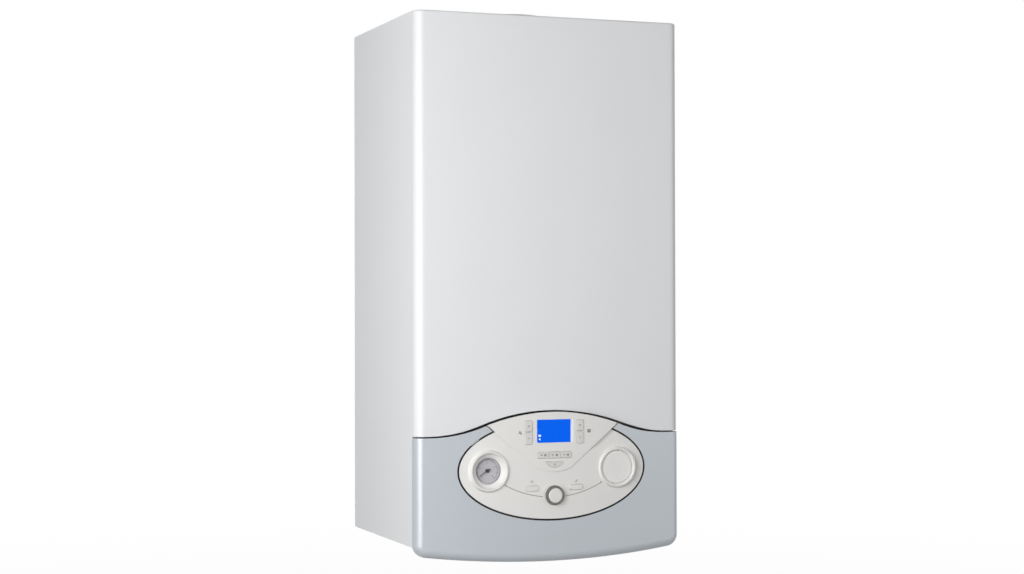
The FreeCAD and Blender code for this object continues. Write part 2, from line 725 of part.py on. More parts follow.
def oval_block(label, grow):
    """The oval panel's outline carried through the whole front."""
    ellipse = doc.addObject("Part::Ellipse", f"{label}_outline")
    bind(ellipse, "MajorRadius", d.oval_half_width + grow)
    bind(ellipse, "MinorRadius", d.oval_half_height + grow)
    ellipse.Placement = Placement(Vector(0, 0, 0), Rotation(Vector(1, 0, 0), 90))
    place(ellipse, 0, -joint_plane, d.oval_height)
    block = doc.addObject("Part::Extrusion", label)
    block.Base = ellipse
    block.DirMode = "Custom"
    block.Dir = Vector(0, -1, 0)
    block.Solid = True
    bind(block, "LengthFwd", d.front_depth + PAST)
    return block


def bowed_band(label, proud, wall, reach):
    """A sheet that follows the fascia's bow, standing proud of it."""
    body = new_body(label, kept=False)
    outer = bow_radius + proud
    inner = outer - wall
    axis = bow_radius - front_most
    outer_edge = axis - (outer * outer - reach * reach).root()
    inner_edge = axis - (inner * inner - reach * reach).root()
    band = [(-reach, outer_edge, outer, 1), (reach, outer_edge), (reach, inner_edge, inner, -1),
            (-reach, inner_edge)]
    pad_loops(body, "XY_Plane", 0, d.arch_height + PAST, band)
    return body


def fascia():
    """Bowed silver moulding with the oval opening, its top cut free for the shield."""
    body = new_body("fascia_shell", kept=False)
    rear = joint_plane + d.seat_gap
    plan = [(-half_width, -rear), (-half_width, -d.casing_depth, bow_radius, 1),
            (half_width, -d.casing_depth), (half_width, -rear)]
    pad_loops(body, "XY_Plane", 0, d.arch_height, plan)
    edge = half_width + PAST
    above = d.arch_height + PAST
    curve = joint_curve(-d.joint_gap / 2)
    level = curve[0][1]
    cut = [(-edge, level)] + curve + [(edge, level), (edge, above), (-edge, above)]
    pocket_loops(body, "XZ_Plane", 0, front_most + PAST, cut)
    pocket_loops(body, "XZ_Plane", 0, front_most + PAST, fascia_foot())
    front = TOUCH - d.casing_depth.number
    below_top = level.number - 1
    round_edges(body, d.fascia_round,
                lambda ps: all(p.y < front for p in ps) and min(p.z for p in ps) < below_top)
    hollow(body, d.fascia_wall, -rear.number)
    for side in (-1, 1):
        for height in (d.boss_low, d.boss_high):
            seat = box_front + d.seat_gap
            pad_circle(body, "XZ_Plane", seat, bow_depth(boss_offset) - d.fascia_wall / 2 - seat,
                       side * boss_offset, height, d.boss_radius)
    opening = combine("MultiFuse", "fascia_opening", [oval_block("oval_opening", d.oval_gap),
                      shield_block("shield_opening", d.oval_gap, True)], kept=False)
    combine("Cut", "fascia", [body, opening])


def grown(outline, play):
    """A button's outline with room round it."""
    kind, values = outline
    play = as_size(play)
    if kind == "lens":
        half, top, radius = values
        lift = math.sqrt(radius * radius - half * half)
        wide = ((radius + play) * (radius + play) - (lift - play) * (lift - play)).root()
        return [(-wide, top + play, radius + play, 1), (wide, top + play)]
    u0, u1, v0, v1, r = values
    return soft_rectangle(u0 - play, u1 + play, v0 - play, v1 + play, r + play)


# Buttons seen from the front: left, right, lower and upper edge and corner radius.
pair_near, pair_far = 33.4, 44.2
pair_low, pair_split, pair_high = 165.6, 183.2, 199
split_gap = 1.1
row_low, row_high, row_end = 145.7, 154.6, 25.5
row_split_left, row_split_right = -8.3, 8.9
BUTTONS = {
    "hot_water_plus_button": ("box", (-pair_far, -pair_near, pair_split + split_gap / 2, pair_high, 2)),
    "hot_water_minus_button": ("box", (-pair_far, -pair_near, pair_low, pair_split - split_gap / 2, 2)),
    "heating_plus_button": ("box", (pair_near, pair_far, pair_split + split_gap / 2, pair_high, 2)),
    "heating_minus_button": ("box", (pair_near, pair_far, pair_low, pair_split - split_gap / 2, 2)),
    "mode_button": ("box", (-row_end, row_split_left - split_gap / 2, row_low, row_high, 2.5)),
    "comfort_button": ("box", (row_split_left + split_gap / 2, row_split_right - split_gap / 2, row_low,
                               row_high, 1)),
    "auto_button": ("box", (row_split_right + split_gap / 2, row_end, row_low, row_high, 2.5)),
    "power_button": ("lens", (13.3, 141, 14.8)),
    "reset_button": ("box", (-43, -23.6, 100.2, 107.8, 3.2)),
    "menu_button": ("box", (23.6, 43, 100.2, 107.8, 3.2)),
}


def button_reach(outline):
    """Nearest and furthest place of a button from the middle."""
    kind, values = outline
    if kind == "lens":
        return 0, values[0]
    near, far = sorted((abs(values[0]), abs(values[1])))
    return (0 if values[0] < 0 < values[1] else near), far


def button(label, outline):
    """A button cap that slides through the panel, kept in by a lip behind it."""
    near, far = button_reach(outline)
    on_shield = label not in ("reset_button", "menu_button")
    body = new_body(label)
    proud = d.button_rise + (d.shield_rise if on_shield else 0)
    face = bow_depth(as_size(near)) + proud
    lip_front = bow_depth(as_size(far) + d.button_lip) - d.panel_wall - d.seat_gap
    lip_rear = lip_front - d.button_lip
    pad_loops(body, "XZ_Plane", lip_rear, face - lip_rear, grown(outline, 0))
    pad_loops(body, "XZ_Plane", lip_rear, d.button_lip, grown(outline, d.button_lip / 3))
    crown = -face.number + TOUCH
    round_edges(body, d.button_rise / 2, lambda ps: all(p.y < crown for p in ps))


def dial_ring(label, side, inner):
    """Raised ring round the gauge or the timer blank; inner gives its inner profile."""
    body = new_body(label, side * d.dial_offset, -bow_depth(d.dial_offset), d.dial_height, kept=False)
    root = d.panel_wall - d.button_lip / 2
    flat = d.rim_flat
    outer = [(d.ring_radius, root), (d.ring_radius, 0), (d.ring_crest + flat, -d.ring_rise),
             (d.ring_crest - flat, -d.ring_rise)]
    revolve(body, "Y", outer + inner + [(inner[-1][0], root)])
    return body


def panel_posts():
    """Four posts behind the control panel, standing on the control box."""
    posts = []
    foot = box_front + d.seat_gap
    for side in (-1, 1):
        for x, height in ((d.low_post_offset, d.low_post_height), (d.high_post_offset, d.high_post_height)):
            post = new_body(f"panel_post_{len(posts)}", kept=False)
            length = bow_depth(x) - d.panel_wall / 2 - foot
            pad_circle(post, "XZ_Plane", foot, length, side * x, height, d.post_radius)
            posts.append(post)
    return posts


def control_panel():
    """Oval cream panel with the raised display shield, two rings and all its openings."""
    oval = oval_block("oval_face", 0)
    shield = shield_block("shield_face", 0, False)
    face = combine("MultiFuse", "panel_outline", [oval, shield], kept=False)
    reach = d.oval_half_width + d.rim_flat
    sheet_part = combine("MultiCommon", "panel_sheet",
                         [bowed_band("panel_band", 0, d.panel_wall, reach), face], kept=False)
    raised = combine("MultiCommon", "panel_shield",
                     [bowed_band("shield_band", d.shield_rise, d.panel_wall, reach),
                      shield_block("shield_top", 0, False)], kept=False)
    collar = new_body("knob_collar", 0, -front_most, d.knob_height, kept=False)
    wide = d.knob_radius + d.ring_rise
    revolve(collar, "Y", [(0, d.panel_wall / 2), (wide, d.panel_wall / 2), (wide, -d.shield_rise),
                          (0, -d.shield_rise)])
    holes = new_body("panel_holes", kept=False)
    half_screen = d.screen_width / 2 + d.seat_gap
    half_tall = d.screen_height / 2 + d.seat_gap
    openings = [grown(outline, d.button_play) for outline in BUTTONS.values()]
    openings.append(soft_rectangle(-half_screen, half_screen, d.screen_centre - half_tall,
                                   d.screen_centre + half_tall, 1))
    through = d.front_depth + PAST
    for opening in openings:
        pad_loops(holes, "XZ_Plane", joint_plane, through, opening)
    pad_circle(holes, "XZ_Plane", joint_plane, through, 0, d.knob_height, d.spindle_radius + d.seat_gap)
    for side in (-1, 1):
        pad_circle(holes, "XZ_Plane", joint_plane, through, side * d.dial_offset, d.dial_height, d.ring_bore)
    cone = [(d.ring_bore, -d.ring_rise / 3), (d.gauge_cone, d.glass_wall)]
    plain = combine("MultiFuse", "panel_plain", [sheet_part, raised, collar], kept=False)
    pierced = combine("Cut", "panel_pierced", [plain, holes], kept=False)
    rings = [dial_ring("gauge_ring", -1, cone), dial_ring("blank_ring", 1, [(d.ring_bore, -d.ring_rise / 3)])]
    combine("MultiFuse", "control_panel", [pierced] + rings + panel_posts())


def at_gauge(label):
    """A body on the gauge's axis, with its origin on the panel's surface."""
    return new_body(label, -d.dial_offset, -bow_depth(d.dial_offset), d.dial_height)


def gauge():
    """Pressure gauge behind its ring: glass, needle and a can with the dial."""
    glass_front = d.panel_wall - d.button_lip / 2 + d.seat_gap
    glass_rear = glass_front + d.glass_wall
    glass_radius = d.gauge_cone + d.glass_wall
    dial = glass_rear + d.needle_room
    rim = glass_radius + d.seat_gap
    can = rim + d.fascia_wall / 2
    bore = d.pivot_radius + d.running_gap
    rear = dial + d.gauge_can_depth
    revolve(at_gauge("gauge_glass"), "Y", rectangle(0, glass_radius, glass_front, glass_rear))
    revolve(at_gauge("gauge_body"), "Y", [
        (bore, dial), (d.gauge_cone, dial), (d.gauge_cone, glass_rear + d.seat_gap),
        (rim, glass_rear + d.seat_gap), (rim, glass_front), (can, glass_front), (can, rear - d.fascia_wall),
        (can / 2, rear), (0, rear), (0, dial + d.needle_room), (bore, dial + d.needle_room)])
    needle = at_gauge("gauge_needle")
    hub_front = glass_rear + d.seat_gap
    hub_rear = dial - d.seat_gap
    revolve(needle, "Y", [(0, hub_front), (d.hub_radius, hub_front), (d.hub_radius, hub_rear),
                          (d.pivot_radius, hub_rear), (d.pivot_radius, hub_rear + d.needle_room),
                          (0, hub_rear + d.needle_room)])
    # The needle points straight right here and is turned to its reading by the placement.
    tail = d.needle_length / 3
    blade = [(-tail, -d.pivot_radius), (d.needle_length, -d.pivot_radius / 4),
             (d.needle_length, d.pivot_radius / 4), (-tail, d.pivot_radius)]
    pad_loops(needle, "XZ_Plane", -(hub_front + d.needle_room / 4), d.needle_room / 4, blade)
    needle.Placement = Placement(Vector(), Rotation(Vector(0, -1, 0), NEEDLE_ANGLE))
    place(needle, -d.dial_offset, -bow_depth(d.dial_offset), d.dial_height)


# Where the gauge needle points at rest, anticlockwise from the right.
NEEDLE_ANGLE = 211


def clock_blank():
    """Plain disc that closes the opening for a timer."""
    body = new_body("clock_blank", d.dial_offset, -bow_depth(d.dial_offset), d.dial_height)
    edge = d.ring_bore - d.seat_gap
    skirt = d.gauge_cone
    depth = d.gauge_sink + d.panel_wall
    face = -d.ring_rise / 2
    step = d.rim_flat
    back = d.glass_wall
    revolve(body, "Y", [(0, face), (edge - step, face), (edge, face + step), (edge, back),
                        (skirt + step, back), (skirt + step, depth), (skirt, depth), (skirt, back),
                        (0, back)])


def knob():
    """Dark knob with a spindle, and the pale cap in its front."""
    foot = -(d.shield_rise + d.seat_gap)
    front = -(d.shield_rise + d.knob_rise)
    floor = front + d.cap_sink
    tip = board_front - d.board_wall
    turned = new_body("knob_ring", 0, -front_most, d.knob_height)
    edge = d.knob_radius
    step = d.rim_flat
    revolve(turned, "Y", [(0, floor), (d.cap_radius, floor), (d.cap_radius, front), (edge - step, front),
                          (edge, foot), (d.spindle_radius, foot), (d.spindle_radius, tip), (0, tip)])
    cap = new_body("knob_cap", 0, -front_most, d.knob_height)
    edge = d.cap_radius - d.seat_gap / 2
    revolve(cap, "Y", [(0, floor - d.seat_gap / 2), (edge, floor - d.seat_gap / 2), (edge, front),
                       (edge - step, front - d.cap_sink / 4), (0, front - d.cap_sink / 4)])


# Depth of the display board's front behind the middle of the panel.
board_front = d.panel_wall + d.lcd_wall + 2 * d.seat_gap


def display():
    """Display window, blue display module and the board that carries it."""
    half = d.screen_width / 2
    tall = d.screen_height / 2
    middle = d.screen_centre
    pane = new_body("display_window")
    pad_loops(pane, "XZ_Plane", front_most + d.shield_rise / 2 - d.window_wall, d.window_wall,
              soft_rectangle(-half, half, middle - tall, middle + tall, 1))
    lcd = new_body("lcd_module")
    front = front_most - d.panel_wall - d.seat_gap
    grow = d.button_lip
    pad_loops(lcd, "XZ_Plane", front - d.lcd_wall, d.lcd_wall,
              rectangle(-half - grow, half + grow, middle - tall - grow, middle + tall + grow))
    board = new_body("display_board")
    plane = front_most - board_front - d.board_wall
    pad_loops(board, "XZ_Plane", plane, d.board_wall,
              soft_rectangle(-d.board_half_width, d.board_half_width, d.board_floor, d.board_top,
                             d.plate_corner))
    can = 2 * d.spindle_radius
    top = front_most - d.panel_wall - 2 * d.seat_gap
    pad_loops(board, "XZ_Plane", plane + d.board_wall / 2, top - plane - d.board_wall / 2,
              rectangle(-can, can, d.knob_height - can, d.knob_height + can))
    pocket_circles(board, "XZ_Plane", plane + d.board_wall, PAST,
                   (0, d.knob_height, d.spindle_radius + d.running_gap))


# The tilt axis of the control panel.
pivot_plane = joint_plane + d.pivot_inset


def tilt_eye(body, inner, wall, side, web):
    """A plate across X with an eye round the tilt axis; web is its outline above the eye."""
    start = side * (inner if side > 0 else inner + wall)
    pad_circle(body, "YZ_Plane", start, wall, -pivot_plane, d.pivot_height, d.ear_radius)
    pad_loops(body, "YZ_Plane", start, wall, web)


def control_box():
    """Moulded housing of the electronics, with ears for the tilt pins and posts for the board."""
    body = new_body("control_box")
    half = box_half
    pad_loops(body, "XZ_Plane", box_rear, d.box_depth,
              soft_rectangle(-half, half, d.box_floor, d.box_top, d.box_corner))
    hollow(body, d.box_wall, -box_rear.number)
    inside = box_front - d.box_wall
    for side in (-1, 1):
        for height in (d.boss_low, d.boss_high):
            pad_circle(body, "XZ_Plane", inside - d.post_length, d.post_length + d.box_wall / 2,
                       side * (boss_offset - d.box_corner), height, d.post_radius)
    inner = half - d.box_corner - d.ear_wall
    reach = d.ear_radius
    web = rectangle(-(pivot_plane + reach), -(pivot_plane - reach), d.pivot_height,
                    d.box_floor + d.box_wall / 2)
    for side in (-1, 1):
        tilt_eye(body, inner, d.ear_wall, side, web)
    sketch = sketch_on(body, "YZ_Plane", -half)
    draw_circle(sketch, -pivot_plane, d.pivot_height, d.pin_radius + d.running_gap)
    pocket(body, sketch, box_half * 2)


def control_box_lid():
    """Rear lid of the control box with a row of vents."""
    body = new_body("control_box_lid")
    half = box_half
    front = box_rear - d.seat_gap
    pad_loops(body, "XZ_Plane", front - d.box_wall, d.box_wall,
              soft_rectangle(-half, half, d.box_floor, d.box_top, d.box_corner))
    lip = d.box_wall + d.seat_gap
    rim_out = soft_rectangle(-half + lip, half - lip, d.box_floor + lip, d.box_top - lip,
                             d.box_corner - d.box_wall)
    thick = 2 * lip
    rim_in = soft_rectangle(-half + thick, half - thick, d.box_floor + thick, d.box_top - thick,
                            d.box_corner - 2 * d.box_wall)
    pad_loops(body, "XZ_Plane", front - d.box_wall / 2, d.post_length, rim_out, rim_in)
    vent = level_slot(-half / 2, (d.box_floor + d.box_top) / 2, half / 3, d.post_radius)
    row = pocket_loops(body, "XZ_Plane", front - 2 * d.box_wall, PAST, vent)
    vents = body.newObject("PartDesign::LinearPattern", "vent_row")
    vents.Originals = [row]
    vents.Direction = (origin_feature(body, "Z_Axis"), [""])
    bind(vents, "Length", d.post_radius * 10)
    vents.Occurrences = 6
    body.Tip = vents


def main_board():
    """Main circuit board with its transformer, relays and capacitor."""
    body = new_body("main_board")
    front = box_front - d.box_wall - d.post_length - d.seat_gap
    half = boss_offset - d.box_corner / 2
    margin = d.box_wall + d.seat_gap + d.rim_flat
    pad_loops(body, "XZ_Plane", front - d.board_wall, d.board_wall,
              rectangle(-half, half, d.box_floor + d.box_corner, d.box_top - d.box_corner))
    rear = front - d.board_wall / 2
    tall = d.box_depth / 3
    low = d.box_floor + 2 * d.box_corner
    pad_loops(body, "XZ_Plane", rear - tall, tall, rectangle(-half + margin, -half / 2, low, low + half / 3))
    for count in range(3):
        left = half / 6 * (count * 2)
        pad_loops(body, "XZ_Plane", rear - tall * 2 / 3, tall * 2 / 3,
                  rectangle(left, left + half / 8, low, low + half / 6))
    pad_circle(body, "XZ_Plane", rear - tall, tall, -half / 4, d.box_top - 3 * d.box_corner, d.box_corner)


def cross_bar():
    """Folded bar between the side panels, behind the joint of cover and fascia."""
    body = new_body("cross_bar", kept=False)
    g = d.sheet_gauge
    front = -(joint_plane - g - d.seat_gap)
    rear = front + d.bar_flange
    low = d.box_top + d.bar_gap
    high = d.arch_height + d.bar_overlap
    folded = [(front, low), (front, high), (rear, high), (rear, high - g), (front + g, high - g),
              (front + g, low + g), (rear, low + g), (rear, low)]
    pad_loops(body, "YZ_Plane", -frame_half, 2 * frame_half, folded)
    return body


def panel_supports():
    """The cross bar, and two brackets on the side panels' feet with riveted pins for the tilting panel."""
    supports = [cross_bar()]
    inner = box_half + d.seat_gap
    for side, label in ((-1, "left_tilt_bracket"), (1, "right_tilt_bracket")):
        body = new_body(label, kept=False)
        front = -(pivot_plane + d.ear_radius)
        rear = -(pivot_plane - d.bracket_reach)
        heel = -(pivot_plane - d.ear_radius)
        lift = d.pivot_height + d.sheet_gauge
        web = [(front, d.pivot_height), (heel, d.pivot_height), (heel, lift), (rear, lift),
               (rear, d.bracket_height), (front, d.bracket_height)]
        tilt_eye(body, inner, d.bracket_wall, side, web)
        seat = d.side_floor + d.sheet_gauge + d.seat_gap
        outer = half_width - d.sheet_gauge - d.seat_gap
        pad_loops(body, "XY_Plane", seat, d.bracket_wall,
                  rectangle(side * inner, side * outer, -(joint_plane - 2 * d.sheet_gauge), rear))
        pin_end = box_half - d.box_corner - d.ear_wall
        length = inner + d.bracket_wall - pin_end
        start = pin_end if side > 0 else -(inner + d.bracket_wall)
        pad_circle(body, "YZ_Plane", start, length, -pivot_plane, d.pivot_height, d.pin_radius)
        supports.append(body)
    result = doc.addObject("Part::Compound", "panel_supports")
    result.Label = "panel_supports"
    result.Links = supports
    sub_parts.append(result)


def expansion_vessel():
    """Flat round vessel with rounded rims, a pressed seam and its water boss."""
    body = new_body("expansion_vessel", 0, 0, d.casing_height - d.vessel_drop)
    rear = -(d.sheet_gauge + d.seat_gap)
    front = rear - d.vessel_depth
    middle = (rear + front) / 2
    r = d.vessel_round
    rim = d.vessel_radius
    half_seam = d.seam_width / 2
    wall = d.burner_wall
    bend = r - wall
    revolve(body, "Y", [(0, rear), (rim - r, rear, r, -1), (rim, rear - r), (rim, middle + half_seam),
                        (rim + d.seam_rise, middle + half_seam), (rim + d.seam_rise, middle - half_seam),
                        (rim, middle - half_seam), (rim, front + r, r, -1), (rim - r, front), (0, front),
                        (0, front + wall), (rim - r, front + wall, bend, 1), (rim - wall, front + r),
                        (rim - wall, rear - r, bend, 1), (rim - r, rear - wall), (0, rear - wall)])
    boss = d.small_pipe_radius + d.pipe_wall * 2
    low = rim + d.vessel_round / 2
    pad_circle(body, "XY_Plane", -low, d.vessel_round, 0, middle, boss)


# Depth of the vertical water pipes, and where they stand across the casing.
riser_axis = d.tail_axis - d.riser_setback
drain_axis = d.tail_axis + d.riser_setback
fan_front = chamber_front - d.seat_gap * 10 - d.fan_motor_length
fan_rear = fan_front - d.fan_width
door_rear = fan_rear - d.door_wall
drum_front = door_rear - d.seat_gap
drum_rear = inner_back + d.seat_gap
spigot_floor = d.drum_radius + d.spigot_drop
pipe_room = d.seat_gap * 3


def combustion_chamber():
    """Sheet box that seals the burner off, open at its front, with its pipe holes."""
    body = new_body("combustion_chamber")
    g = d.sheet_gauge
    top = roof - d.seat_gap
    outer = rectangle(-frame_half, frame_half, chamber_floor, top)
    inner = rectangle(-frame_half + g, frame_half - g, chamber_floor + g, top - g)
    rim = d.chamber_rim
    mouth = rectangle(-frame_half + rim, frame_half - rim, chamber_floor + rim, top - rim)
    pad_loops(body, "XZ_Plane", d.chamber_back, chamber_front - d.chamber_back, outer, inner)
    pad_loops(body, "XZ_Plane", d.chamber_back, g, outer)
    pad_loops(body, "XZ_Plane", chamber_front - g, g, outer, mouth)
    pocket_circles(body, "XY_Plane", top - 2 * g, 3 * g, (0, -d.flue_axis, d.air_radius + d.seat_gap))
    water = d.water_radius + pipe_room
    pocket_circles(body, "XY_Plane", chamber_floor - g, 3 * g,
                   (d.riser_left, -riser_axis, water), (d.riser_right, -riser_axis, water),
                   (d.fan_offset, -feed_axis, d.gas_radius + pipe_room),
                   (d.trap_offset, -trap_axis, d.trap_spigot + d.seat_gap))


feed_axis = fan_rear - d.mixer_length / 2
trap_axis = box_rear - d.service_gap - d.trap_radius


def chamber_lid():
    """Pressed lid of the sealed chamber."""
    body = new_body("chamber_lid")
    seat = chamber_front + d.seat_gap
    half = half_width - d.lid_margin
    low = chamber_floor + d.sheet_gauge
    high = d.casing_height - d.lid_margin
    step = d.chamber_rim / 2
    r = d.box_corner
    pad_loops(body, "XZ_Plane", seat, d.lid_rise, soft_rectangle(-half + step, half - step, low + step,
                                                                 high - step, r))
    front = -(seat.number + d.lid_rise.number - TOUCH)
    round_edges(body, d.lid_rise / 2, lambda ps: all(p.y < front for p in ps))
    hollow(body, d.sheet_gauge, -seat.number)
    in_step = step + d.sheet_gauge / 2
    pad_loops(body, "XZ_Plane", seat, d.sheet_gauge, soft_rectangle(-half, half, low, high, r),
              soft_rectangle(-half + in_step, half - in_step, low + in_step, high - in_step, r))


def heat_exchanger():
    """Stainless drum with rolled grooves, its fire space, and the flue, water and drain spigots."""
    body = new_body("heat_exchanger", d.drum_offset, 0, drum_height)
    rim = d.drum_radius
    bevel = d.door_wall
    length = drum_front - drum_rear
    outline = [(0, -drum_rear), (rim - bevel, -drum_rear), (rim, -(drum_rear + bevel))]
    groove = d.sheet_gauge * 2
    for count in range(1, 4):
        place_along = drum_rear + bevel + (length - bevel) * count / 4
        outline += [(rim, -(place_along - groove)), (rim - groove, -place_along),
                    (rim, -(place_along + groove))]
    fire_end = drum_rear + d.fire_floor
    outline += [(rim, -drum_front), (d.fire_radius, -drum_front), (d.fire_radius, -fire_end), (0, -fire_end)]
    revolve(body, "Y", outline)
    root = d.door_wall * 5
    pad_circle(body, "XY_Plane", rim - root, root + d.spigot_rise, -d.drum_offset, -d.flue_axis,
               d.flue_bore + d.flue_wall)
    inside = spigot_floor - rim + bevel * 2
    for x, axis, radius in ((d.riser_left, riser_axis, d.water_radius + d.spigot_wall),
                            (d.riser_right, riser_axis, d.water_radius + d.spigot_wall),
                            (d.drain_offset, drain_axis, d.gas_radius)):
        pad_circle(body, "XY_Plane", -spigot_floor, inside, x - d.drum_offset, -axis, radius)


def burner():
    """Burner door with its mixture duct, the burner tube behind it and the electrodes."""
    door = new_body("burner_door", d.drum_offset, 0, drum_height)
    pad_circle(door, "XZ_Plane", door_rear, d.door_wall, 0, 0, d.door_radius)
    left = d.fan_offset + d.fan_radius - d.fan_throat - d.fan_wall - d.drum_offset
    half = d.duct_height / 2
    overlap = d.rim_flat
    pad_loops(door, "XZ_Plane", fan_rear - overlap, d.fan_width + overlap,
              soft_rectangle(left, d.fire_radius, -half, half, d.box_corner))
    tube_body = new_body("burner_tube", d.drum_offset, 0, drum_height)
    near = -(door_rear - d.seat_gap)
    far = -(drum_rear + d.fire_floor + d.burner_wall * 4)
    inner = d.burner_radius - d.burner_wall
    revolve(tube_body, "Y", [(inner, near), (d.burner_radius, near), (d.burner_radius, far), (0, far),
                             (0, far - d.burner_wall), (inner, far - d.burner_wall)])
    spark = new_body("ignition_electrodes", d.drum_offset, 0, drum_height)
    level = -(half + d.fire_radius / 2)
    foot = fan_rear + d.seat_gap
    reach = d.fire_radius / 2
    tall = d.plate_half_height
    pad_loops(spark, "XZ_Plane", foot, d.fan_wall,
              soft_rectangle(-reach, reach, level - tall, level + tall, d.plate_corner))
    for side in (-1, 1):
        pad_circle(spark, "XZ_Plane", foot + d.fan_wall / 2, d.fan_width / 2, side * reach / 2, level,
                   d.shaft_radius)


def fan():
    """Fan housing with its tangential outlet, the bladed wheel and the motor that closes it."""
    house = new_body("fan_housing", d.fan_offset, 0, fan_height)
    outer = d.fan_radius
    wall = d.fan_wall
    mouth = drum_height - d.duct_height / 2 - d.seat_gap - fan_height
    pad_circle(house, "XZ_Plane", fan_rear, d.fan_width, 0, 0, outer)
    pad_loops(house, "XZ_Plane", fan_rear, d.fan_width, rectangle(outer - d.fan_throat, outer, 0, mouth))
    pocket_circles(house, "XZ_Plane", fan_rear + wall, d.fan_width, (0, 0, outer - wall))
    pocket_loops(house, "XZ_Plane", fan_rear + wall, d.fan_width - 2 * wall,
                 rectangle(outer - d.fan_throat + wall, outer - wall, 0, mouth + wall))
    pocket_circles(house, "XZ_Plane", fan_rear - wall, 3 * wall, (0, 0, d.wheel_eye))
    seat = fan_front + d.seat_gap
    bore = d.shaft_radius + d.running_gap
    end = seat + d.fan_motor_length - d.spigot_wall
    motor = new_body("fan_motor", d.fan_offset, 0, fan_height)
    can = d.fan_motor_radius
    revolve(motor, "Y", [(bore, -seat), (outer, -seat), (outer, -(seat + wall)), (can, -(seat + wall)),
                         (can, -(end - wall)), (can - wall, -end), (0, -end), (0, -(end - wall)),
                         (bore, -(end - wall))])
    wheel = new_body("fan_wheel", d.fan_offset, 0, fan_height)
    plate_front = fan_front - wall
    plate_rear = plate_front - d.blade_wall
    hub_rear = plate_rear - wall * 2
    tip = end - wall * 2
    shaft = d.shaft_radius
    revolve(wheel, "Y", [(0, -hub_rear), (shaft * 2, -hub_rear), (shaft * 3, -plate_rear),
                         (d.wheel_radius, -plate_rear), (d.wheel_radius, -plate_front), (shaft, -plate_front),
                         (shaft, -tip), (0, -tip)])
    depth = d.fan_width - 4 * wall
    blade = pad_loops(wheel, "XZ_Plane", plate_rear - depth, depth + d.blade_wall / 2,
                      rectangle(d.wheel_eye, d.wheel_radius - d.rim_flat, 0, d.blade_wall))
    blades = wheel.newObject("PartDesign::PolarPattern", "blade_ring")
    blades.Originals = [blade]
    blades.Axis = (origin_feature(wheel, "Y_Axis"), [""])
    blades.Angle = 360
    blades.Occurrences = 18
    wheel.Tip = blades


def air_gas_mixer():
    """Venturi on the fan's inlet, with the gas boss under it."""
    body = new_body("air_gas_mixer", d.fan_offset, 0, fan_height)
    near = -(fan_rear - d.seat_gap)
    far = near + d.mixer_length
    waist = near + d.mixer_length / 3
    wall = d.mixer_wall
    flange = d.wheel_eye + 2 * wall
    revolve(body, "Y", [(d.mixer_throat, near), (flange, near), (flange, near + wall),
                        (d.mixer_throat + wall, waist),
                        (d.mixer_mouth + wall, far), (d.mixer_mouth, far), (d.mixer_throat, waist)])
    boss = d.gas_radius + wall / 2
    height = d.mixer_mouth + 2 * wall
    pad_circle(body, "XY_Plane", -height, height - d.mixer_throat - wall * 2, 0, -feed_axis, boss)


def flue():
    """Inner flue socket, and the collar with its air sleeve and spokes."""
    pipe = new_body("flue_pipe", 0, -d.flue_axis, drum_height)
    low = d.drum_radius + d.spigot_rise + d.seat_gap
    high = d.drum_drop + d.flue_rise
    outer = d.flue_bore + d.flue_wall
    revolve(pipe, "Z", rectangle(d.flue_bore, outer, low, high))
    collar = new_body("flue_collar", 0, -d.flue_axis, d.casing_height)
    sleeve = d.air_radius - d.air_wall
    drop = d.flue_rise
    flange = d.air_wall + d.seat_gap
    revolve(collar, "Z", [(sleeve, -drop), (d.air_radius, -drop), (d.air_radius, d.seat_gap),
                          (d.air_flange, d.seat_gap),
                          (d.air_flange, flange), (d.air_radius, flange), (d.air_radius, d.flue_rise),
                          (sleeve, d.flue_rise)])
    hub = outer + d.seat_gap
    spoke = pad_loops(collar, "XY_Plane", -drop, d.flue_rise / 2,
                      rectangle(hub, sleeve + d.air_wall / 2, -d.rim_flat, d.rim_flat))
    spokes = collar.newObject("PartDesign::PolarPattern", "spoke_ring")
    spokes.Originals = [spoke]
    spokes.Axis = (origin_feature(collar, "Z_Axis"), [""])
    spokes.Angle = 360
    spokes.Occurrences = 3
    collar.Tip = spokes


def pipe_rail():
    """Folded rail at the foot of the rear frame that holds the five connection tails."""
    body = new_body("pipe_rail")
    half = frame_half - d.rail_lip / 2
    rear = -(d.sheet_gauge + d.seat_gap)
    front = -(block_front + d.rail_wall)
    lip = d.rail_lip
    folded = [(rear, d.rail_height), (rear, rail_top + lip), (rear - d.rail_wall, rail_top + lip),
              (rear - d.rail_wall, rail_top), (front, rail_top), (front, rail_top - lip),
              (front + d.rail_wall, rail_top - lip), (front + d.rail_wall, d.rail_height)]
    pad_loops(body, "YZ_Plane", -half, 2 * half, folded)
    room = d.seat_gap * 2
    holes = [(count * d.tail_pitch, -d.tail_axis, d.tail_radius + room) for count in (-2, -1, 0, 1, 2)]
    holes.append((tap_x, -tap_axis, d.shaft_radius + room))
    pocket_circles(body, "XY_Plane", d.rail_height - d.rail_wall, 3 * d.rail_wall, *holes)


# The tails are necked in where they pass the rail.
neck_floor = d.rail_height - d.rail_wall

# The filling tap stands between the two right-hand tails.
tap_x = d.tail_pitch * 1.5
tap_axis = d.tail_axis + d.block_half_depth / 2


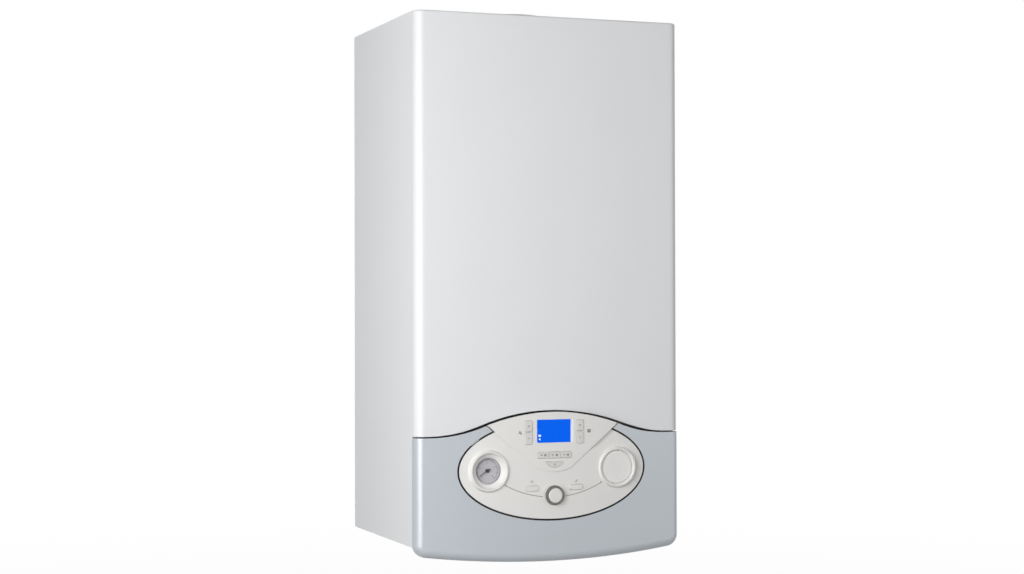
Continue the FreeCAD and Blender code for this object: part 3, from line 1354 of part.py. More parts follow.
def water_block(label, side):
    """Cast water block on the rail with two connection tails below it."""
    body = new_body(label)
    near = side * (d.tail_pitch - d.block_wing)
    far = side * (2 * d.tail_pitch + d.block_wing)
    left, right = (near, far) if side > 0 else (far, near)
    pad_loops(body, "XY_Plane", block_floor, d.block_height,
              soft_rectangle(left, right, -block_front, -block_rear, d.box_corner))
    low = d.rail_height - d.tail_drop
    for count, radius in ((1, d.tap_tail_radius), (2, d.tail_radius)):
        x = side * count * d.tail_pitch
        pad_circle(body, "XY_Plane", low, d.tail_drop - d.rail_wall, x, -d.tail_axis, radius)
        pad_circle(body, "XY_Plane", neck_floor, block_floor - neck_floor + d.rim_flat, x, -d.tail_axis,
                   radius - pipe_room)
    pocket_circles(body, "XY_Plane", low - d.rim_flat, d.tail_drop + d.block_height / 2,
                   *[(side * count * d.tail_pitch, -d.tail_axis, d.tail_bore) for count in (1, 2)])
    return body


def flow_block():
    """Left water block with the diverter valve's barrel, and the motor on top of it."""
    body = water_block("flow_block", -1)
    x = -2 * d.tail_pitch
    root = block_top - d.rim_flat
    pad_circle(body, "XY_Plane", root, d.valve_height + d.rim_flat, x, -d.tail_axis, d.valve_radius)
    motor = new_body("diverter_motor")
    half = d.motor_side / 2
    seat = block_top + d.valve_height + d.seat_gap
    pad_loops(motor, "XY_Plane", seat, d.motor_height,
              soft_rectangle(x - half, x + half, -(d.tail_axis + half), -(d.tail_axis - half), d.box_corner))
    top = seat.number + d.motor_height.number - TOUCH
    round_edges(motor, d.fascia_wall, lambda ps: all(p.z > top for p in ps))


# The pump housing stands on the right water block; its motor closes it at the front.
volute_rear = d.tail_axis - d.volute_width / 2
volute_front = volute_rear + d.volute_width
room_rear = volute_front - d.impeller_width - 2 * d.impeller_room


def return_block():
    """Right water block with the pump housing, its outlet and the seat of the filling tap."""
    body = water_block("return_block", 1)
    neck = d.volute_radius / 2
    near = volute_rear + d.neck_inset
    far = volute_front - d.neck_inset
    overlap = d.rim_flat
    pad_loops(body, "XY_Plane", block_top - overlap, d.pump_height - block_top,
              rectangle(d.pump_offset - neck, d.pump_offset + neck, -far, -near))
    pad_circle(body, "XZ_Plane", volute_rear, d.volute_width, d.pump_offset, d.pump_height, d.volute_radius)
    rise = d.volute_radius - neck + d.outlet_rise
    pad_circle(body, "XY_Plane", d.pump_height + neck, rise, d.riser_right, -riser_axis,
               d.water_radius + d.collar_width)
    pocket_circles(body, "XZ_Plane", room_rear, d.volute_width,
                   (d.pump_offset, d.pump_height, d.impeller_radius + d.impeller_room))
    pocket_circles(body, "XY_Plane", block_floor - overlap, d.block_height / 3,
                   (tap_x, -tap_axis, d.shaft_radius + d.running_gap))


def pump():
    """Pump motor and the impeller on its shaft."""
    seat = volute_front + d.seat_gap
    end = box_rear - d.service_gap
    bore = d.shaft_radius + d.running_gap
    flange = d.volute_radius
    can = d.pump_motor_radius
    wall = d.fan_wall
    motor = new_body("pump_motor", d.pump_offset, 0, d.pump_height)
    revolve(motor, "Y", [(bore, -seat), (flange, -seat), (flange, -(seat + wall)), (can, -(seat + wall)),
                         (can, -(end - 2 * wall)), (can - 2 * wall, -end), (0, -end), (0, -(end - wall)),
                         (bore, -(end - wall))])
    impeller = new_body("pump_impeller", d.pump_offset, 0, d.pump_height)
    front = room_rear + d.impeller_room + d.impeller_width
    rear = front - d.impeller_width
    shaft_end = end - 2 * wall
    revolve(impeller, "Y", [(0, -rear), (d.impeller_radius / 2, -rear),
                            (d.impeller_radius, -(rear + d.impeller_width / 3)),
                            (d.impeller_radius, -front), (d.shaft_radius, -front),
                            (d.shaft_radius, -shaft_end), (0, -shaft_end)])


def safety_valve():
    """Safety valve on the right water block's face, with its ribbed cap."""
    body = new_body("safety_valve", d.tail_pitch, 0, block_floor + d.block_height / 2)
    seat = block_front + d.seat_gap
    step = d.relief_radius
    bevel = d.spigot_wall
    end = seat + 2 * step + bevel
    revolve(body, "Y", [(0, -seat), (d.relief_radius, -seat), (d.relief_radius, -(seat + step)),
                        (d.relief_cap_radius, -(seat + step)), (d.relief_cap_radius, -(seat + 2 * step)),
                        (d.relief_cap_radius - bevel, -end), (0, -end)])


def filling_tap():
    """Handle and stem of the filling tap under the rail."""
    body = new_body("filling_tap", tap_x, -tap_axis, 0)
    top = d.rail_height - d.seat_gap * 10
    low = top - d.tap_length
    stem = block_floor + d.block_height / 4
    bevel = d.spigot_wall
    wide = d.tap_radius
    revolve(body, "Z", [(0, low), (wide - bevel, low), (wide, low + bevel), (wide, top),
                        (d.shaft_radius, top), (d.shaft_radius, stem), (0, stem)])
    flute = pocket_circles(body, "XY_Plane", low - bevel, d.tap_length + bevel,
                           (wide + d.rim_flat, 0, d.flute_radius))
    flutes = body.newObject("PartDesign::PolarPattern", "flute_ring")
    flutes.Originals = [flute]
    flutes.Axis = (origin_feature(body, "Z_Axis"), [""])
    flutes.Angle = 360
    flutes.Occurrences = 8
    body.Tip = flutes


def plate_exchanger():
    """Stack of pressed plates that heats the tap water, with ports to both water blocks."""
    body = new_body("plate_exchanger")
    half = d.plate_half_width
    low = rail_top + d.rail_lip
    high = low + d.plate_height
    port_end = block_rear - d.seat_gap
    stack_front = port_end - d.service_gap / 2
    stack_rear = stack_front - d.plate_pitch * (PLATE_COUNT - 1) - d.plate_wall
    r = d.window_corner
    plate = pad_loops(body, "XZ_Plane", stack_rear, d.plate_wall, soft_rectangle(-half, half, low, high, r))
    stack = body.newObject("PartDesign::LinearPattern", "plate_stack")
    stack.Originals = [plate]
    stack.Direction = (origin_feature(body, "Y_Axis"), [""])
    stack.Reversed = True
    bind(stack, "Length", d.plate_pitch * (PLATE_COUNT - 1))
    stack.Occurrences = PLATE_COUNT
    body.Tip = stack
    inset = d.plate_wall
    pad_loops(body, "XZ_Plane", stack_rear, stack_front - stack_rear,
              soft_rectangle(-half + inset, half - inset, low + inset, high - inset, r))
    root = stack_front - d.rim_flat
    stub = d.service_gap / 2 + d.rim_flat
    for side in (-1, 1):
        for height in (low + r, high - r):
            pad_circle(body, "XZ_Plane", root, stub, side * (half - r), height,
                       d.water_radius)


PLATE_COUNT = 12


def gas_line():
    """Gas tail and pipe, the valve with its two coils, and the pipe to the mixer."""
    valve_top = chamber_floor - d.gas_valve_drop
    valve_low = valve_top - d.gas_valve_height
    low = d.rail_height - d.tail_drop
    collar = block_floor + d.collar_height
    wide = d.tail_radius + d.collar_width
    bore = d.gas_radius - d.pipe_wall
    pipe = new_body("gas_pipe", 0, -d.tail_axis, 0)
    neck = d.tail_radius - pipe_room
    top = valve_low - d.seat_gap
    revolve(pipe, "Z", [(bore, low), (d.tail_radius, low), (d.tail_radius, neck_floor), (neck, neck_floor),
                        (neck, block_floor), (wide, block_floor), (wide, collar), (d.gas_radius, collar),
                        (d.gas_radius, top), (bore, top)])
    valve = new_body("gas_valve")
    half = d.gas_valve_half
    near = d.tail_axis - d.water_radius * 2
    far = feed_axis + d.gas_radius * 2
    pad_loops(valve, "XY_Plane", valve_low, d.gas_valve_height,
              soft_rectangle(-half, half, -far, -near, d.box_corner))
    for share in (1, 3):
        pad_circle(valve, "XZ_Plane", far - d.rim_flat, d.gas_radius * 2, 0,
                   valve_low + d.gas_valve_height * share / 4, half / 2)
    turn = chamber_floor - d.gas_valve_drop / 2
    end = fan_height - d.mixer_mouth - 2 * d.mixer_wall - d.seat_gap
    tube("gas_feed_pipe", [(0, -feed_axis, valve_top + d.seat_gap), (0, -feed_axis, turn),
                           (d.fan_offset, -feed_axis, turn), (d.fan_offset, -feed_axis, end)],
         d.gas_radius, d.gas_radius - d.pipe_wall, d.bend_radius)


def water_pipes():
    """Flow and return pipes, the vessel's pipe, the condensate hose and its trap."""
    spigot = drum_height - spigot_floor - d.seat_gap
    turn = chamber_floor - d.turn_room
    bore = d.water_radius - d.pipe_wall
    landing = block_top + d.seat_gap
    tube("flow_pipe", [(d.riser_left, -riser_axis, spigot), (d.riser_left, -riser_axis, turn),
                       (-d.flow_landing, -riser_axis, turn), (-d.flow_landing, -riser_axis, landing)],
         d.water_radius, bore, d.bend_radius)
    outlet = d.pump_height + d.volute_radius + d.outlet_rise + d.seat_gap
    riser = new_body("return_pipe", d.riser_right, -riser_axis, 0)
    revolve(riser, "Z", rectangle(bore, d.water_radius, outlet, spigot))
    vessel_low = d.casing_height - d.vessel_drop - d.vessel_radius - d.vessel_round / 2 - d.seat_gap
    axis = d.sheet_gauge + d.seat_gap + d.vessel_depth / 2
    side = d.tail_pitch - d.bend_radius / 2
    over = rail_top + d.rail_lip + d.plate_height + d.bend_radius
    fall = vessel_low - over
    tube("vessel_pipe", [(0, -axis, vessel_low), (0, -axis, vessel_low - fall / 4),
                         (side, -axis, over + fall / 3), (side, -axis, over), (side, -d.tail_axis, over),
                         (side, -d.tail_axis, landing)],
         d.small_pipe_radius, d.small_pipe_radius - d.pipe_wall, d.bend_radius / 2)
    neck_top = chamber_floor + d.trap_spigot
    hose_turn = neck_top + d.turn_room
    tube("condensate_hose", [(d.drain_offset, -drain_axis, spigot), (d.drain_offset, -drain_axis, hose_turn),
                             (d.trap_offset, -trap_axis, hose_turn),
                             (d.trap_offset, -trap_axis, neck_top + d.seat_gap)],
         d.gas_radius, d.gas_radius - 2 * d.pipe_wall, d.bend_radius / 2)
    trap = new_body("condensate_trap", d.trap_offset, -trap_axis, chamber_floor)
    wide = d.trap_radius
    spout = d.trap_spigot
    shoulder = -(spout + d.seat_gap)
    foot = shoulder - d.trap_height
    end = foot - d.trap_spigot_length
    bore = spout - d.spigot_wall
    revolve(trap, "Z", [(0, spout), (d.gas_radius, spout), (spout, 0), (spout, shoulder + spout / 2),
                        (wide, shoulder), (wide, foot + wide), (spout, foot), (spout, end), (bore, end),
                        (bore, foot), (0, foot)])


def check_and_export():
    """Stop at any failed or broken shape, then write every piece to its own file."""
    doc.recompute()
    for item in doc.Objects:
        if "Invalid" in item.State or "Error" in item.State:
            raise RuntimeError(f"{item.Label} failed: {item.State}")
    for piece in sub_parts:
        if piece.Shape.isNull() or not piece.Shape.isValid():
            raise RuntimeError(f"{piece.Label} has no valid shape")
    os.makedirs("parts", exist_ok=True)
    for piece in sub_parts:
        piece.Shape.exportStep(os.path.join("parts", f"{piece.Label}.step"))


rear_frame()
side_panel("left_side_panel", -1)
side_panel("right_side_panel", 1)
top_panel()
front_cover()
fascia()
control_panel()
for name, shape in BUTTONS.items():
    button(name, shape)
gauge()
clock_blank()
knob()
display()
control_box()
control_box_lid()
main_board()
panel_supports()
expansion_vessel()
combustion_chamber()
chamber_lid()
heat_exchanger()
burner()
fan()
air_gas_mixer()
flue()
pipe_rail()
flow_block()
return_block()
pump()
safety_valve()
filling_tap()
plate_exchanger()
gas_line()
water_pipes()
check_and_export()
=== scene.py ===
"""Looks of a wall-hung condensing boiler: finishes, prints, fasteners and the studio."""

import math

import bmesh
import bpy
from bpy.props import FloatProperty, FloatVectorProperty, PointerProperty
from mathutils import Matrix, Vector


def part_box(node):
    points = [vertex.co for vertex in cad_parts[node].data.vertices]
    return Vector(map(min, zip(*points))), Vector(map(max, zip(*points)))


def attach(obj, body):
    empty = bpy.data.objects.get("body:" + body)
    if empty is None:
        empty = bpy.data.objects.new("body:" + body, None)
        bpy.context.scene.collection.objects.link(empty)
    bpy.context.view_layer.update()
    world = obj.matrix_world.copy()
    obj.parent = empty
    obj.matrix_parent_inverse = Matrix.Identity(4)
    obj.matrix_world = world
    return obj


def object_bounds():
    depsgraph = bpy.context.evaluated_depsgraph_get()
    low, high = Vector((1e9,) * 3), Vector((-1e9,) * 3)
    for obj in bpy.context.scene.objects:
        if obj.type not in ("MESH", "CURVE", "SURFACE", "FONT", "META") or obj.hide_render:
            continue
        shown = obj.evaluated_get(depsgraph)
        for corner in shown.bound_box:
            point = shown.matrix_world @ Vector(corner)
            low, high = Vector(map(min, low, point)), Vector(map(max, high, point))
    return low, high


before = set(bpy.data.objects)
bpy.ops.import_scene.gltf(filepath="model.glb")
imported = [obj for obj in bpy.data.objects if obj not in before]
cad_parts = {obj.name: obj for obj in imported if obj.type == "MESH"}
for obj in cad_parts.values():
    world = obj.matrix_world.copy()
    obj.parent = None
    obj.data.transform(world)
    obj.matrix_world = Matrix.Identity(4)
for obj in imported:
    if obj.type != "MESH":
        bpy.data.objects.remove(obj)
cad_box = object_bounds()

bl_info = {
    "name": "Wall-hung boiler finishes",
    "version": (1, 0, 0),
    "blender": (4, 5, 0),
    "location": "3D View > Sidebar > Boiler",
    "description": "Finishes, prints and fasteners for a wall-hung condensing boiler, with its studio",
    "category": "Object",
}

MM = 0.001

# Lengths are in millimetres, and heights are given from the lowest edge of the fascia.
HANG_HEIGHT = 730
CASING_DEPTH = 302
SIDE_DEPTH = 282
HALF_WIDTH = 200
# Half the front between the rounded upright edges of cover and fascia.
HALF_FRONT = HALF_WIDTH - 4

# The fascia bows forwards between its sides.
FASCIA_BOW = 13
BOW_RADIUS = (HALF_WIDTH**2 + FASCIA_BOW**2) / (2 * FASCIA_BOW)

# The raised shield round the display has straight sides over a rounded foot.
SHIELD_RISE = 0.8
SHIELD_FOOT_HALF = 25.4
SHIELD_FOOT_HEIGHT = 132.3
SHIELD_FOOT_RADIUS = 63
# Direction of the shield's straight sides.
SHIELD_RUN_SHARE = 0.771
SHIELD_RISE_SHARE = 0.637

# The oval control panel and the open gap round it.
OVAL_HEIGHT = 130
OVAL_HALF_WIDTH = 140.2
OVAL_HALF_HEIGHT = 70
OVAL_GAP = 1.6

# The joint of cover and fascia: an arch in the middle that levels out through a hollow curve at each side.
ARCH_HEIGHT = 211.6
ARCH_RADIUS = 292
SHOULDER_HEIGHT = 178.3
SHOULDER_MIDDLE = 180
ARCH_DROP = ARCH_HEIGHT - SHOULDER_HEIGHT
BOTH_RADII = (SHOULDER_MIDDLE**2 + ARCH_DROP**2) / (2 * ARCH_DROP)
SHOULDER_RADIUS = BOTH_RADII - ARCH_RADIUS
JOINT_KNEE = SHOULDER_MIDDLE * ARCH_RADIUS / BOTH_RADII
JOINT_HALF_GAP = 1

# The gauge's scale runs clockwise from lower left to lower right.
DIAL_X = -97
DIAL_HEIGHT = 130
# From the gauge's front edge back to the dial.
DIAL_DEPTH = 4.5
SCALE_START = math.radians(225)
SCALE_SWEEP = math.radians(270)
HIGHEST_NUMBER = 4

# A circuit board's thickness and a little more.
BOARD_WALL = 1.8

# Prints stand this far out of the surface, and reach this far into it.
PRINT_THICKNESS = 0.06
PRINT_ROOT = 0.02
# Width of the plus and minus signs' strokes.
SIGN_WIDTH = 0.7

# Colours that belong to no single piece.
GAP_SHADE = (0.012, 0.011, 0.010)
BLACK = (0.0, 0.0, 0.0)
WHITE = (1.0, 1.0, 1.0)

# Directions in which screws face.
FORWARD = (0, -1, 0)
BACKWARD = (0, 1, 0)
UPWARD = (0, 0, 1)
CORNER_ANGLES = (45, 135, 225, 315)


def bow_depth(x):
    """Distance of the bowed front from the wall."""
    return CASING_DEPTH + FASCIA_BOW - BOW_RADIUS + math.sqrt(BOW_RADIUS**2 - x * x)


def shield_depth(x):
    """Distance of the shield's front from the wall."""
    return bow_depth(x) + SHIELD_RISE


def box_mm(node):
    """Lowest and highest corner of a CAD node's box."""
    return [[part / MM for part in corner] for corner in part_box(node)]


def front_of(node):
    """Foremost Y of a CAD node."""
    return box_mm(node)[0][1]


def face_depth(node):
    """Function that gives the distance of a CAD node's flat front from the wall."""
    depth = -front_of(node)

    def depth_at(x):
        return depth

    return depth_at


class Signal:
    """A value in a node tree; arithmetic on it adds Math nodes to the tree."""

    def __init__(self, nodes, socket):
        self.nodes = nodes
        self.socket = socket

    def _math(self, operation, *values):
        return self.nodes.value("ShaderNodeMath", {"operation": operation}, dict(enumerate(values)))

    def __add__(self, other):
        return self._math("ADD", self, other)

    def __radd__(self, other):
        return self._math("ADD", other, self)

    def __sub__(self, other):
        return self._math("SUBTRACT", self, other)

    def __rsub__(self, other):
        return self._math("SUBTRACT", other, self)

    def __mul__(self, other):
        return self._math("MULTIPLY", self, other)

    def __rmul__(self, other):
        return self._math("MULTIPLY", other, self)

    def __mod__(self, period):
        return self._math("FLOORED_MODULO", self, period)

    def __abs__(self):
        return self._math("ABSOLUTE", self)

    def root(self):
        """Square root."""
        return self._math("SQRT", self)

    def highest(self, other):
        """The higher of two values."""
        return self._math("MAXIMUM", self, other)

    def bearing(self, across):
        """Angle of (across, self) in radians, anticlockwise from across."""
        return self._math("ARCTAN2", self, across)

    def below(self, edge, blur=0.3):
        """1 below the edge and 0 above it, blurred."""
        ends = {"From Min": edge - blur, "From Max": edge + blur, "To Min": 1.0, "To Max": 0.0}
        settings = {"interpolation_type": "SMOOTHSTEP"}
        return self.nodes.value("ShaderNodeMapRange", settings, {"Value": self, **ends})

    def above(self, edge, blur=0.3):
        """0 below the edge and 1 above it, blurred."""
        return 1 - self.below(edge, blur)

    def between(self, low, high, blur=0.3):
        """1 between two edges and 0 outside them, blurred."""
        return self.above(low, blur) * self.below(high, blur)

    def from_division(self, step):
        """Distance from the nearest multiple of the step."""
        return abs((self + step / 2) % step - step / 2)


def distance(across, up):
    """Length of the straight line that goes this far across and up."""
    return (across * across + up * up).root()


def as_colour(entry):
    """A colour socket as it is, or plain numbers with full opacity."""
    return entry if isinstance(entry, bpy.types.NodeSocket) else (*entry[:3], 1.0)


def scaled(colour, factor):
    """A colour with its parts multiplied, at most to full brightness."""
    return [min(1.0, part * factor) for part in colour[:3]]


class Nodes:
    """The node tree of a material or of the world."""

    def __init__(self, tree):
        self.tree = tree

    def plug(self, socket, entry):
        """Give a socket a value, or a link from a signal or another socket."""
        if isinstance(entry, Signal):
            entry = entry.socket
        if isinstance(entry, bpy.types.NodeSocket):
            self.tree.links.new(entry, socket)
        else:
            socket.default_value = entry

    def node(self, kind, settings=None, inputs=None):
        """Any node: its type, its settings and the values or links of its sockets."""
        node = self.tree.nodes.new(kind)
        for name, setting in (settings or {}).items():
            setattr(node, name, setting)
        for key, entry in (inputs or {}).items():
            self.plug(node.inputs[key], entry)
        return node

    def value(self, kind, settings=None, inputs=None):
        """The first output of a new node, as a signal."""
        return Signal(self, self.node(kind, settings, inputs).outputs[0])

    def parts(self, vector):
        """X, Y and Z of a vector socket."""
        split = self.node("ShaderNodeSeparateXYZ", inputs={0: vector})
        return [Signal(self, output) for output in split.outputs]

    def seen(self):
        """1 for the rays that show the background, 0 for the rays that light the object."""
        rays = self.node("ShaderNodeLightPath").outputs
        direct = Signal(self, rays["Is Camera Ray"])
        return direct.highest(rays["Is Glossy Ray"]).highest(rays["Is Transmission Ray"])

    def mix_shaders(self, mask, first, second):
        """Node that goes from the first shader to the second as the mask rises."""
        return self.node("ShaderNodeMixShader", inputs={0: mask, 1: first.outputs[0], 2: second.outputs[0]})


class Finish(Nodes):
    """A procedural material built round one Principled shader."""

    def __init__(self, name, colour, fixed=None):
        self.material = bpy.data.materials.new(name)
        self.material.use_nodes = True
        super().__init__(self.material.node_tree)
        self.shader = self.tree.nodes["Principled BSDF"]
        self.base = (*colour, 1.0)
        self.feed("Base Color", self.base)
        for socket, setting in (fixed or {}).items():
            self.feed(socket, setting)
        self.coordinates = self.node("ShaderNodeTexCoord").outputs
        # Position on the object in millimetres.
        self.place = self.change("SCALE", {0: self.coordinates["Object"], "Scale": 1 / MM})

    def change(self, operation, inputs):
        """The vector that a vector operation makes."""
        return self.node("ShaderNodeVectorMath", {"operation": operation}, inputs).outputs[0]

    def axes(self):
        """X, Y and height on the object."""
        x, y, z = self.parts(self.place)
        return x, y, z + HANG_HEIGHT

    def edge_wall(self):
        """1 on the walls of gaps, which look sideways, and 0 on faces that look to the front or back."""
        _, forward, _ = self.parts(self.coordinates["Normal"])
        return abs(forward).below(0.6, 0.2)

    def noise(self, size, detail=2.0, stretch=None):
        """Noise whose grains are about size millimetres across."""
        where = self.change("MULTIPLY", {0: self.place, 1: stretch}) if stretch else self.place
        return self.value("ShaderNodeTexNoise", None, {"Vector": where, "Scale": 1 / size, "Detail": detail})

    def cells(self, size):
        """Random grey of crystal cells about size millimetres across."""
        cell = self.node("ShaderNodeTexVoronoi", None, {"Vector": self.place, "Scale": 1 / size})
        return self.value("ShaderNodeSeparateColor", None, {0: cell.outputs["Color"]})

    def mix(self, mask, first, second):
        """Colour that goes from first to second as the mask rises."""
        inputs = {0: mask, 6: as_colour(first), 7: as_colour(second)}
        return self.node("ShaderNodeMix", {"data_type": "RGBA"}, inputs).outputs[2]

    def shade(self, mask, factor):
        """Base colour, multiplied by the factor where the mask is 1."""
        return self.mix(mask, self.base, [part * factor for part in self.base[:3]])

    def feed(self, socket, entry):
        """Give a socket of the Principled shader a value or a link."""
        self.plug(self.shader.inputs[socket], entry)

    def roughen(self, mask, least, more):
        """Roughness that rises from the least by so much more as the mask rises."""
        self.feed("Roughness", least + more * mask)

    def bump(self, height, strength, lift):
        """Surface that seems to rise by the lift, in millimetres, as the height rises."""
        inputs = {"Height": height, "Strength": strength, "Distance": lift * MM}
        self.feed("Normal", self.node("ShaderNodeBump", None, inputs).outputs[0])


def oval_share(x, height, grow):
    """Squared share of the way from the oval's centre to its outline, and its rise per millimetre."""
    half_width = OVAL_HALF_WIDTH + grow
    half_height = OVAL_HALF_HEIGHT + grow
    wide = x * (1 / half_width)
    tall = (height - OVAL_HEIGHT) * (1 / half_height)
    slope = distance(wide * (2 / half_width), tall * (2 / half_height))
    return wide * wide + tall * tall, slope


def above_joint(x, height):
    """Distance above the middle of the joint, from the left knee to the right side."""
    arch_centre = ARCH_HEIGHT - ARCH_RADIUS
    shoulder_centre = SHOULDER_HEIGHT + SHOULDER_RADIUS
    over_arch = distance(x, height - arch_centre) - ARCH_RADIUS
    over_shoulder = SHOULDER_RADIUS - distance(x - SHOULDER_MIDDLE, height - shoulder_centre)
    past_knee = x.above(JOINT_KNEE, 0.01)
    return past_knee * over_shoulder + (1 - past_knee) * over_arch


def strip_under_joint(x, height):
    """1 on the strip of panel and fascia under the right part of the joint, where the joint's shade is
    painted wider.
    """
    widest = 0.75
    lowest = 150
    width = widest * x.above(40, 28) * x.below(152, 20)
    strip = (above_joint(x, height) + width).above(-JOINT_HALF_GAP, 0.15)
    return strip * x.above(20, 5) * height.above(lowest, 1)


def strip_over_joint(x, height):
    """1 on the strip of the cover over the right part of the joint, where the joint's shade is painted
    wider.
    """
    widest = 1.7
    width = widest * x.above(80, 45) * x.below(142, 24)
    strip = (above_joint(x, height) - width).below(JOINT_HALF_GAP, 0.15)
    return strip * x.above(40, 5)


def powder_coat(name, colour):
    """White stove enamel with a fine orange-peel skin; the cover's seam and lower edge carry painted shade.
    """
    finish = Finish(name, colour)
    x, y, height = finish.axes()
    peel = finish.noise(size=1.4)
    cloud = finish.noise(size=90, detail=3)
    on_cover = y.below(-SIDE_DEPTH - 1)
    above_fascia = 260
    low_front = on_cover * abs(x).below(HALF_FRONT, 1) * height.below(above_fascia, 1)
    # Painted shade on the walls of the cover's lower edge and on a strip over the joint's right part.
    lower_edge_shade = finish.edge_wall().highest(strip_over_joint(x, height)) * low_front
    # Painted shade along the seam of the cover with the side panels and top.
    half_seam = 0.6
    seam_shade = 0.5 * abs(y + SIDE_DEPTH + half_seam / 2).below(half_seam)
    finish.feed("Base Color", finish.mix(seam_shade.highest(lower_edge_shade), finish.shade(cloud, 0.975), GAP_SHADE))
    finish.roughen(peel, least=0.34, more=0.1)
    finish.bump(peel, strength=0.12, lift=0.05)
    return finish.material


def galvanised(name, colour):
    """Zinc-coated sheet with faint crystals."""
    finish = Finish(name, colour, {"Metallic": 0.85})
    spangle = finish.cells(size=9)
    grain = finish.noise(size=2, detail=3)
    finish.feed("Base Color", finish.shade(spangle, 0.9))
    finish.roughen(spangle + 0.6 * grain, least=0.34, more=0.1)
    finish.bump(grain, strength=0.08, lift=0.05)
    return finish.material


def silver_moulding(name, colour):
    """Plastic in a metallic silver colour under clear lacquer; its joints carry painted shade inside and
    along their edges.
    """
    finish = Finish(name, colour, {"Metallic": 0.25, "Coat Weight": 0.12, "Coat Roughness": 0.3})
    x, _, height = finish.axes()
    flake = finish.noise(size=0.5, detail=1)
    cloud = finish.noise(size=60)
    share, slope = oval_share(x, height, OVAL_GAP)
    # A narrow border round the oval's gap carries painted shade, as dark as the gap.
    shaded_border_width = 0.5
    shaded_border = (share - shaded_border_width * slope).below(1, 0.003)
    # The painted shade on the wall of the joint is weaker beside the oval's right part.
    beside_oval = share.above(1.03, 0.02) * x.above(60, 10) * x.below(125, 5)
    less_shade = 0.6 * beside_oval * above_joint(x, height).below(-1.7, 0.4)
    over_foot = height.above(50, 1)
    # Painted shade on the walls of the joints, the border round the oval and the strip under the joint.
    shaded_wall = finish.edge_wall() * abs(x).below(HALF_FRONT, 1) * over_foot * (1 - less_shade)
    joint_shade = shaded_wall.highest(shaded_border).highest(strip_under_joint(x, height))
    silver = finish.shade(0.6 * flake + 0.4 * cloud, 0.93)
    finish.feed("Base Color", finish.mix(joint_shade, silver, GAP_SHADE))
    finish.roughen(flake, least=0.37, more=0.1)
    finish.bump(flake, strength=0.05, lift=0.03)
    return finish.material


def plain_moulding(name, colour, roughness=0.45, grain_size=0.8):
    """Plastic with the fine spark-eroded grain of its mould."""
    finish = Finish(name, colour)
    grain = finish.noise(grain_size)
    cloud = finish.noise(size=40)
    finish.feed("Base Color", finish.shade(cloud, 0.94))
    finish.roughen(grain, least=roughness - 0.05, more=0.1)
    finish.bump(grain, strength=0.1, lift=0.04)
    return finish.material


def sweep_line(x, height):
    """1 on the fine line that runs from ring to knob to ring, and on the dots at its ends."""
    centre_height, radius = 245, 154
    knob_side, line_end, line_top = 17.6, 72, 145
    half_line = 0.55
    dot_height, dot_radius = 109.2, 1.2
    side = abs(x)
    away = abs(distance(x, height - centre_height) - radius)
    reach = side.between(knob_side, line_end) * height.below(line_top, 1)
    dot = distance(side - line_end, height - dot_height).below(dot_radius)
    return (away.below(half_line) * reach).highest(dot)


def outside_shield(x, height):
    """Distance outside the shield's outline, which has two straight sides and a rounded foot."""
    side = abs(x)
    run = (side - SHIELD_FOOT_HALF) * SHIELD_RISE_SHARE
    beside = run - (height - SHIELD_FOOT_HEIGHT) * SHIELD_RUN_SHARE
    foot_centre = SHIELD_FOOT_HEIGHT + math.sqrt(SHIELD_FOOT_RADIUS**2 - SHIELD_FOOT_HALF**2)
    under = distance(x, height - foot_centre) - SHIELD_FOOT_RADIUS
    straight = side.above(SHIELD_FOOT_HALF, 0.01)
    return straight * beside + (1 - straight) * under


def shield_crease(x, height, outside):
    """Painted shade beside the shield's step: narrow at its foot, and weaker at the left, where the light
    falls on the step.
    """
    half_shade = 3.5
    narrowing = 1 + 2.5 * height.below(156, 8)
    softer_left = 0.15 + 0.85 * x.above(0, 20)
    return outside.above(0.1, 0.2) * (outside * narrowing).below(half_shade, half_shade) * softer_left


def display_bevel(x, height):
    """1 on the strip at the right of the display that carries a painted highlight."""
    low, high = box_mm("display_window")
    width = 3
    gap = 0.2
    upright = height.between(low[2] + HANG_HEIGHT, high[2] + HANG_HEIGHT)
    return x.above(high[0] + gap, gap) * x.below(high[0] + width) * upright


def panel_moulding(name, colours):
    """The pale control panel with its fine line, painted shade beside the shield, a painted highlight right
    of the display and painted shade along its rim.
    """
    finish = Finish(name, colours.panel)
    x, _, height = finish.axes()
    grain = finish.noise(size=0.7)
    line = sweep_line(x, height)
    outside = outside_shield(x, height)
    # Painted shade beside the shield's step.
    step_shaded = finish.shade(shield_crease(x, height, outside), 0.6)
    # Painted highlight on the strip right of the display.
    pale = finish.mix(display_bevel(x, height), step_shaded, colours.bevel)
    lined = finish.mix(line, pale, colours.line)
    share, slope = oval_share(x, height, grow=0)
    # A narrow border along the panel's edge carries painted shade, as dark as the gap, but not on the
    # shield.
    shaded_border_width = 0.6
    shaded_border = (share + shaded_border_width * slope).above(1, 0.003)
    # Painted shade on the walls of the panel's edge, its border and the strip under the joint.
    shaded_wall = finish.edge_wall() * share.above(0.96, 0.01)
    rim_shade = (shaded_wall.highest(shaded_border) * outside.above(0.3, 0.2)).highest(strip_under_joint(x, height))
    finish.feed("Base Color", finish.mix(rim_shade, lined, GAP_SHADE))
    finish.roughen(grain, least=0.37, more=0.1)
    finish.bump(0.08 * grain - line, strength=0.25, lift=0.3)
    return finish.material


def clear_pane(name, colour, alpha):
    """Clear plastic pane."""
    finish = Finish(name, colour, {"Alpha": alpha, "Specular IOR Level": 0.3})
    smear = finish.noise(size=30, detail=3)
    finish.roughen(smear, least=0.04, more=0.06)
    return finish.material


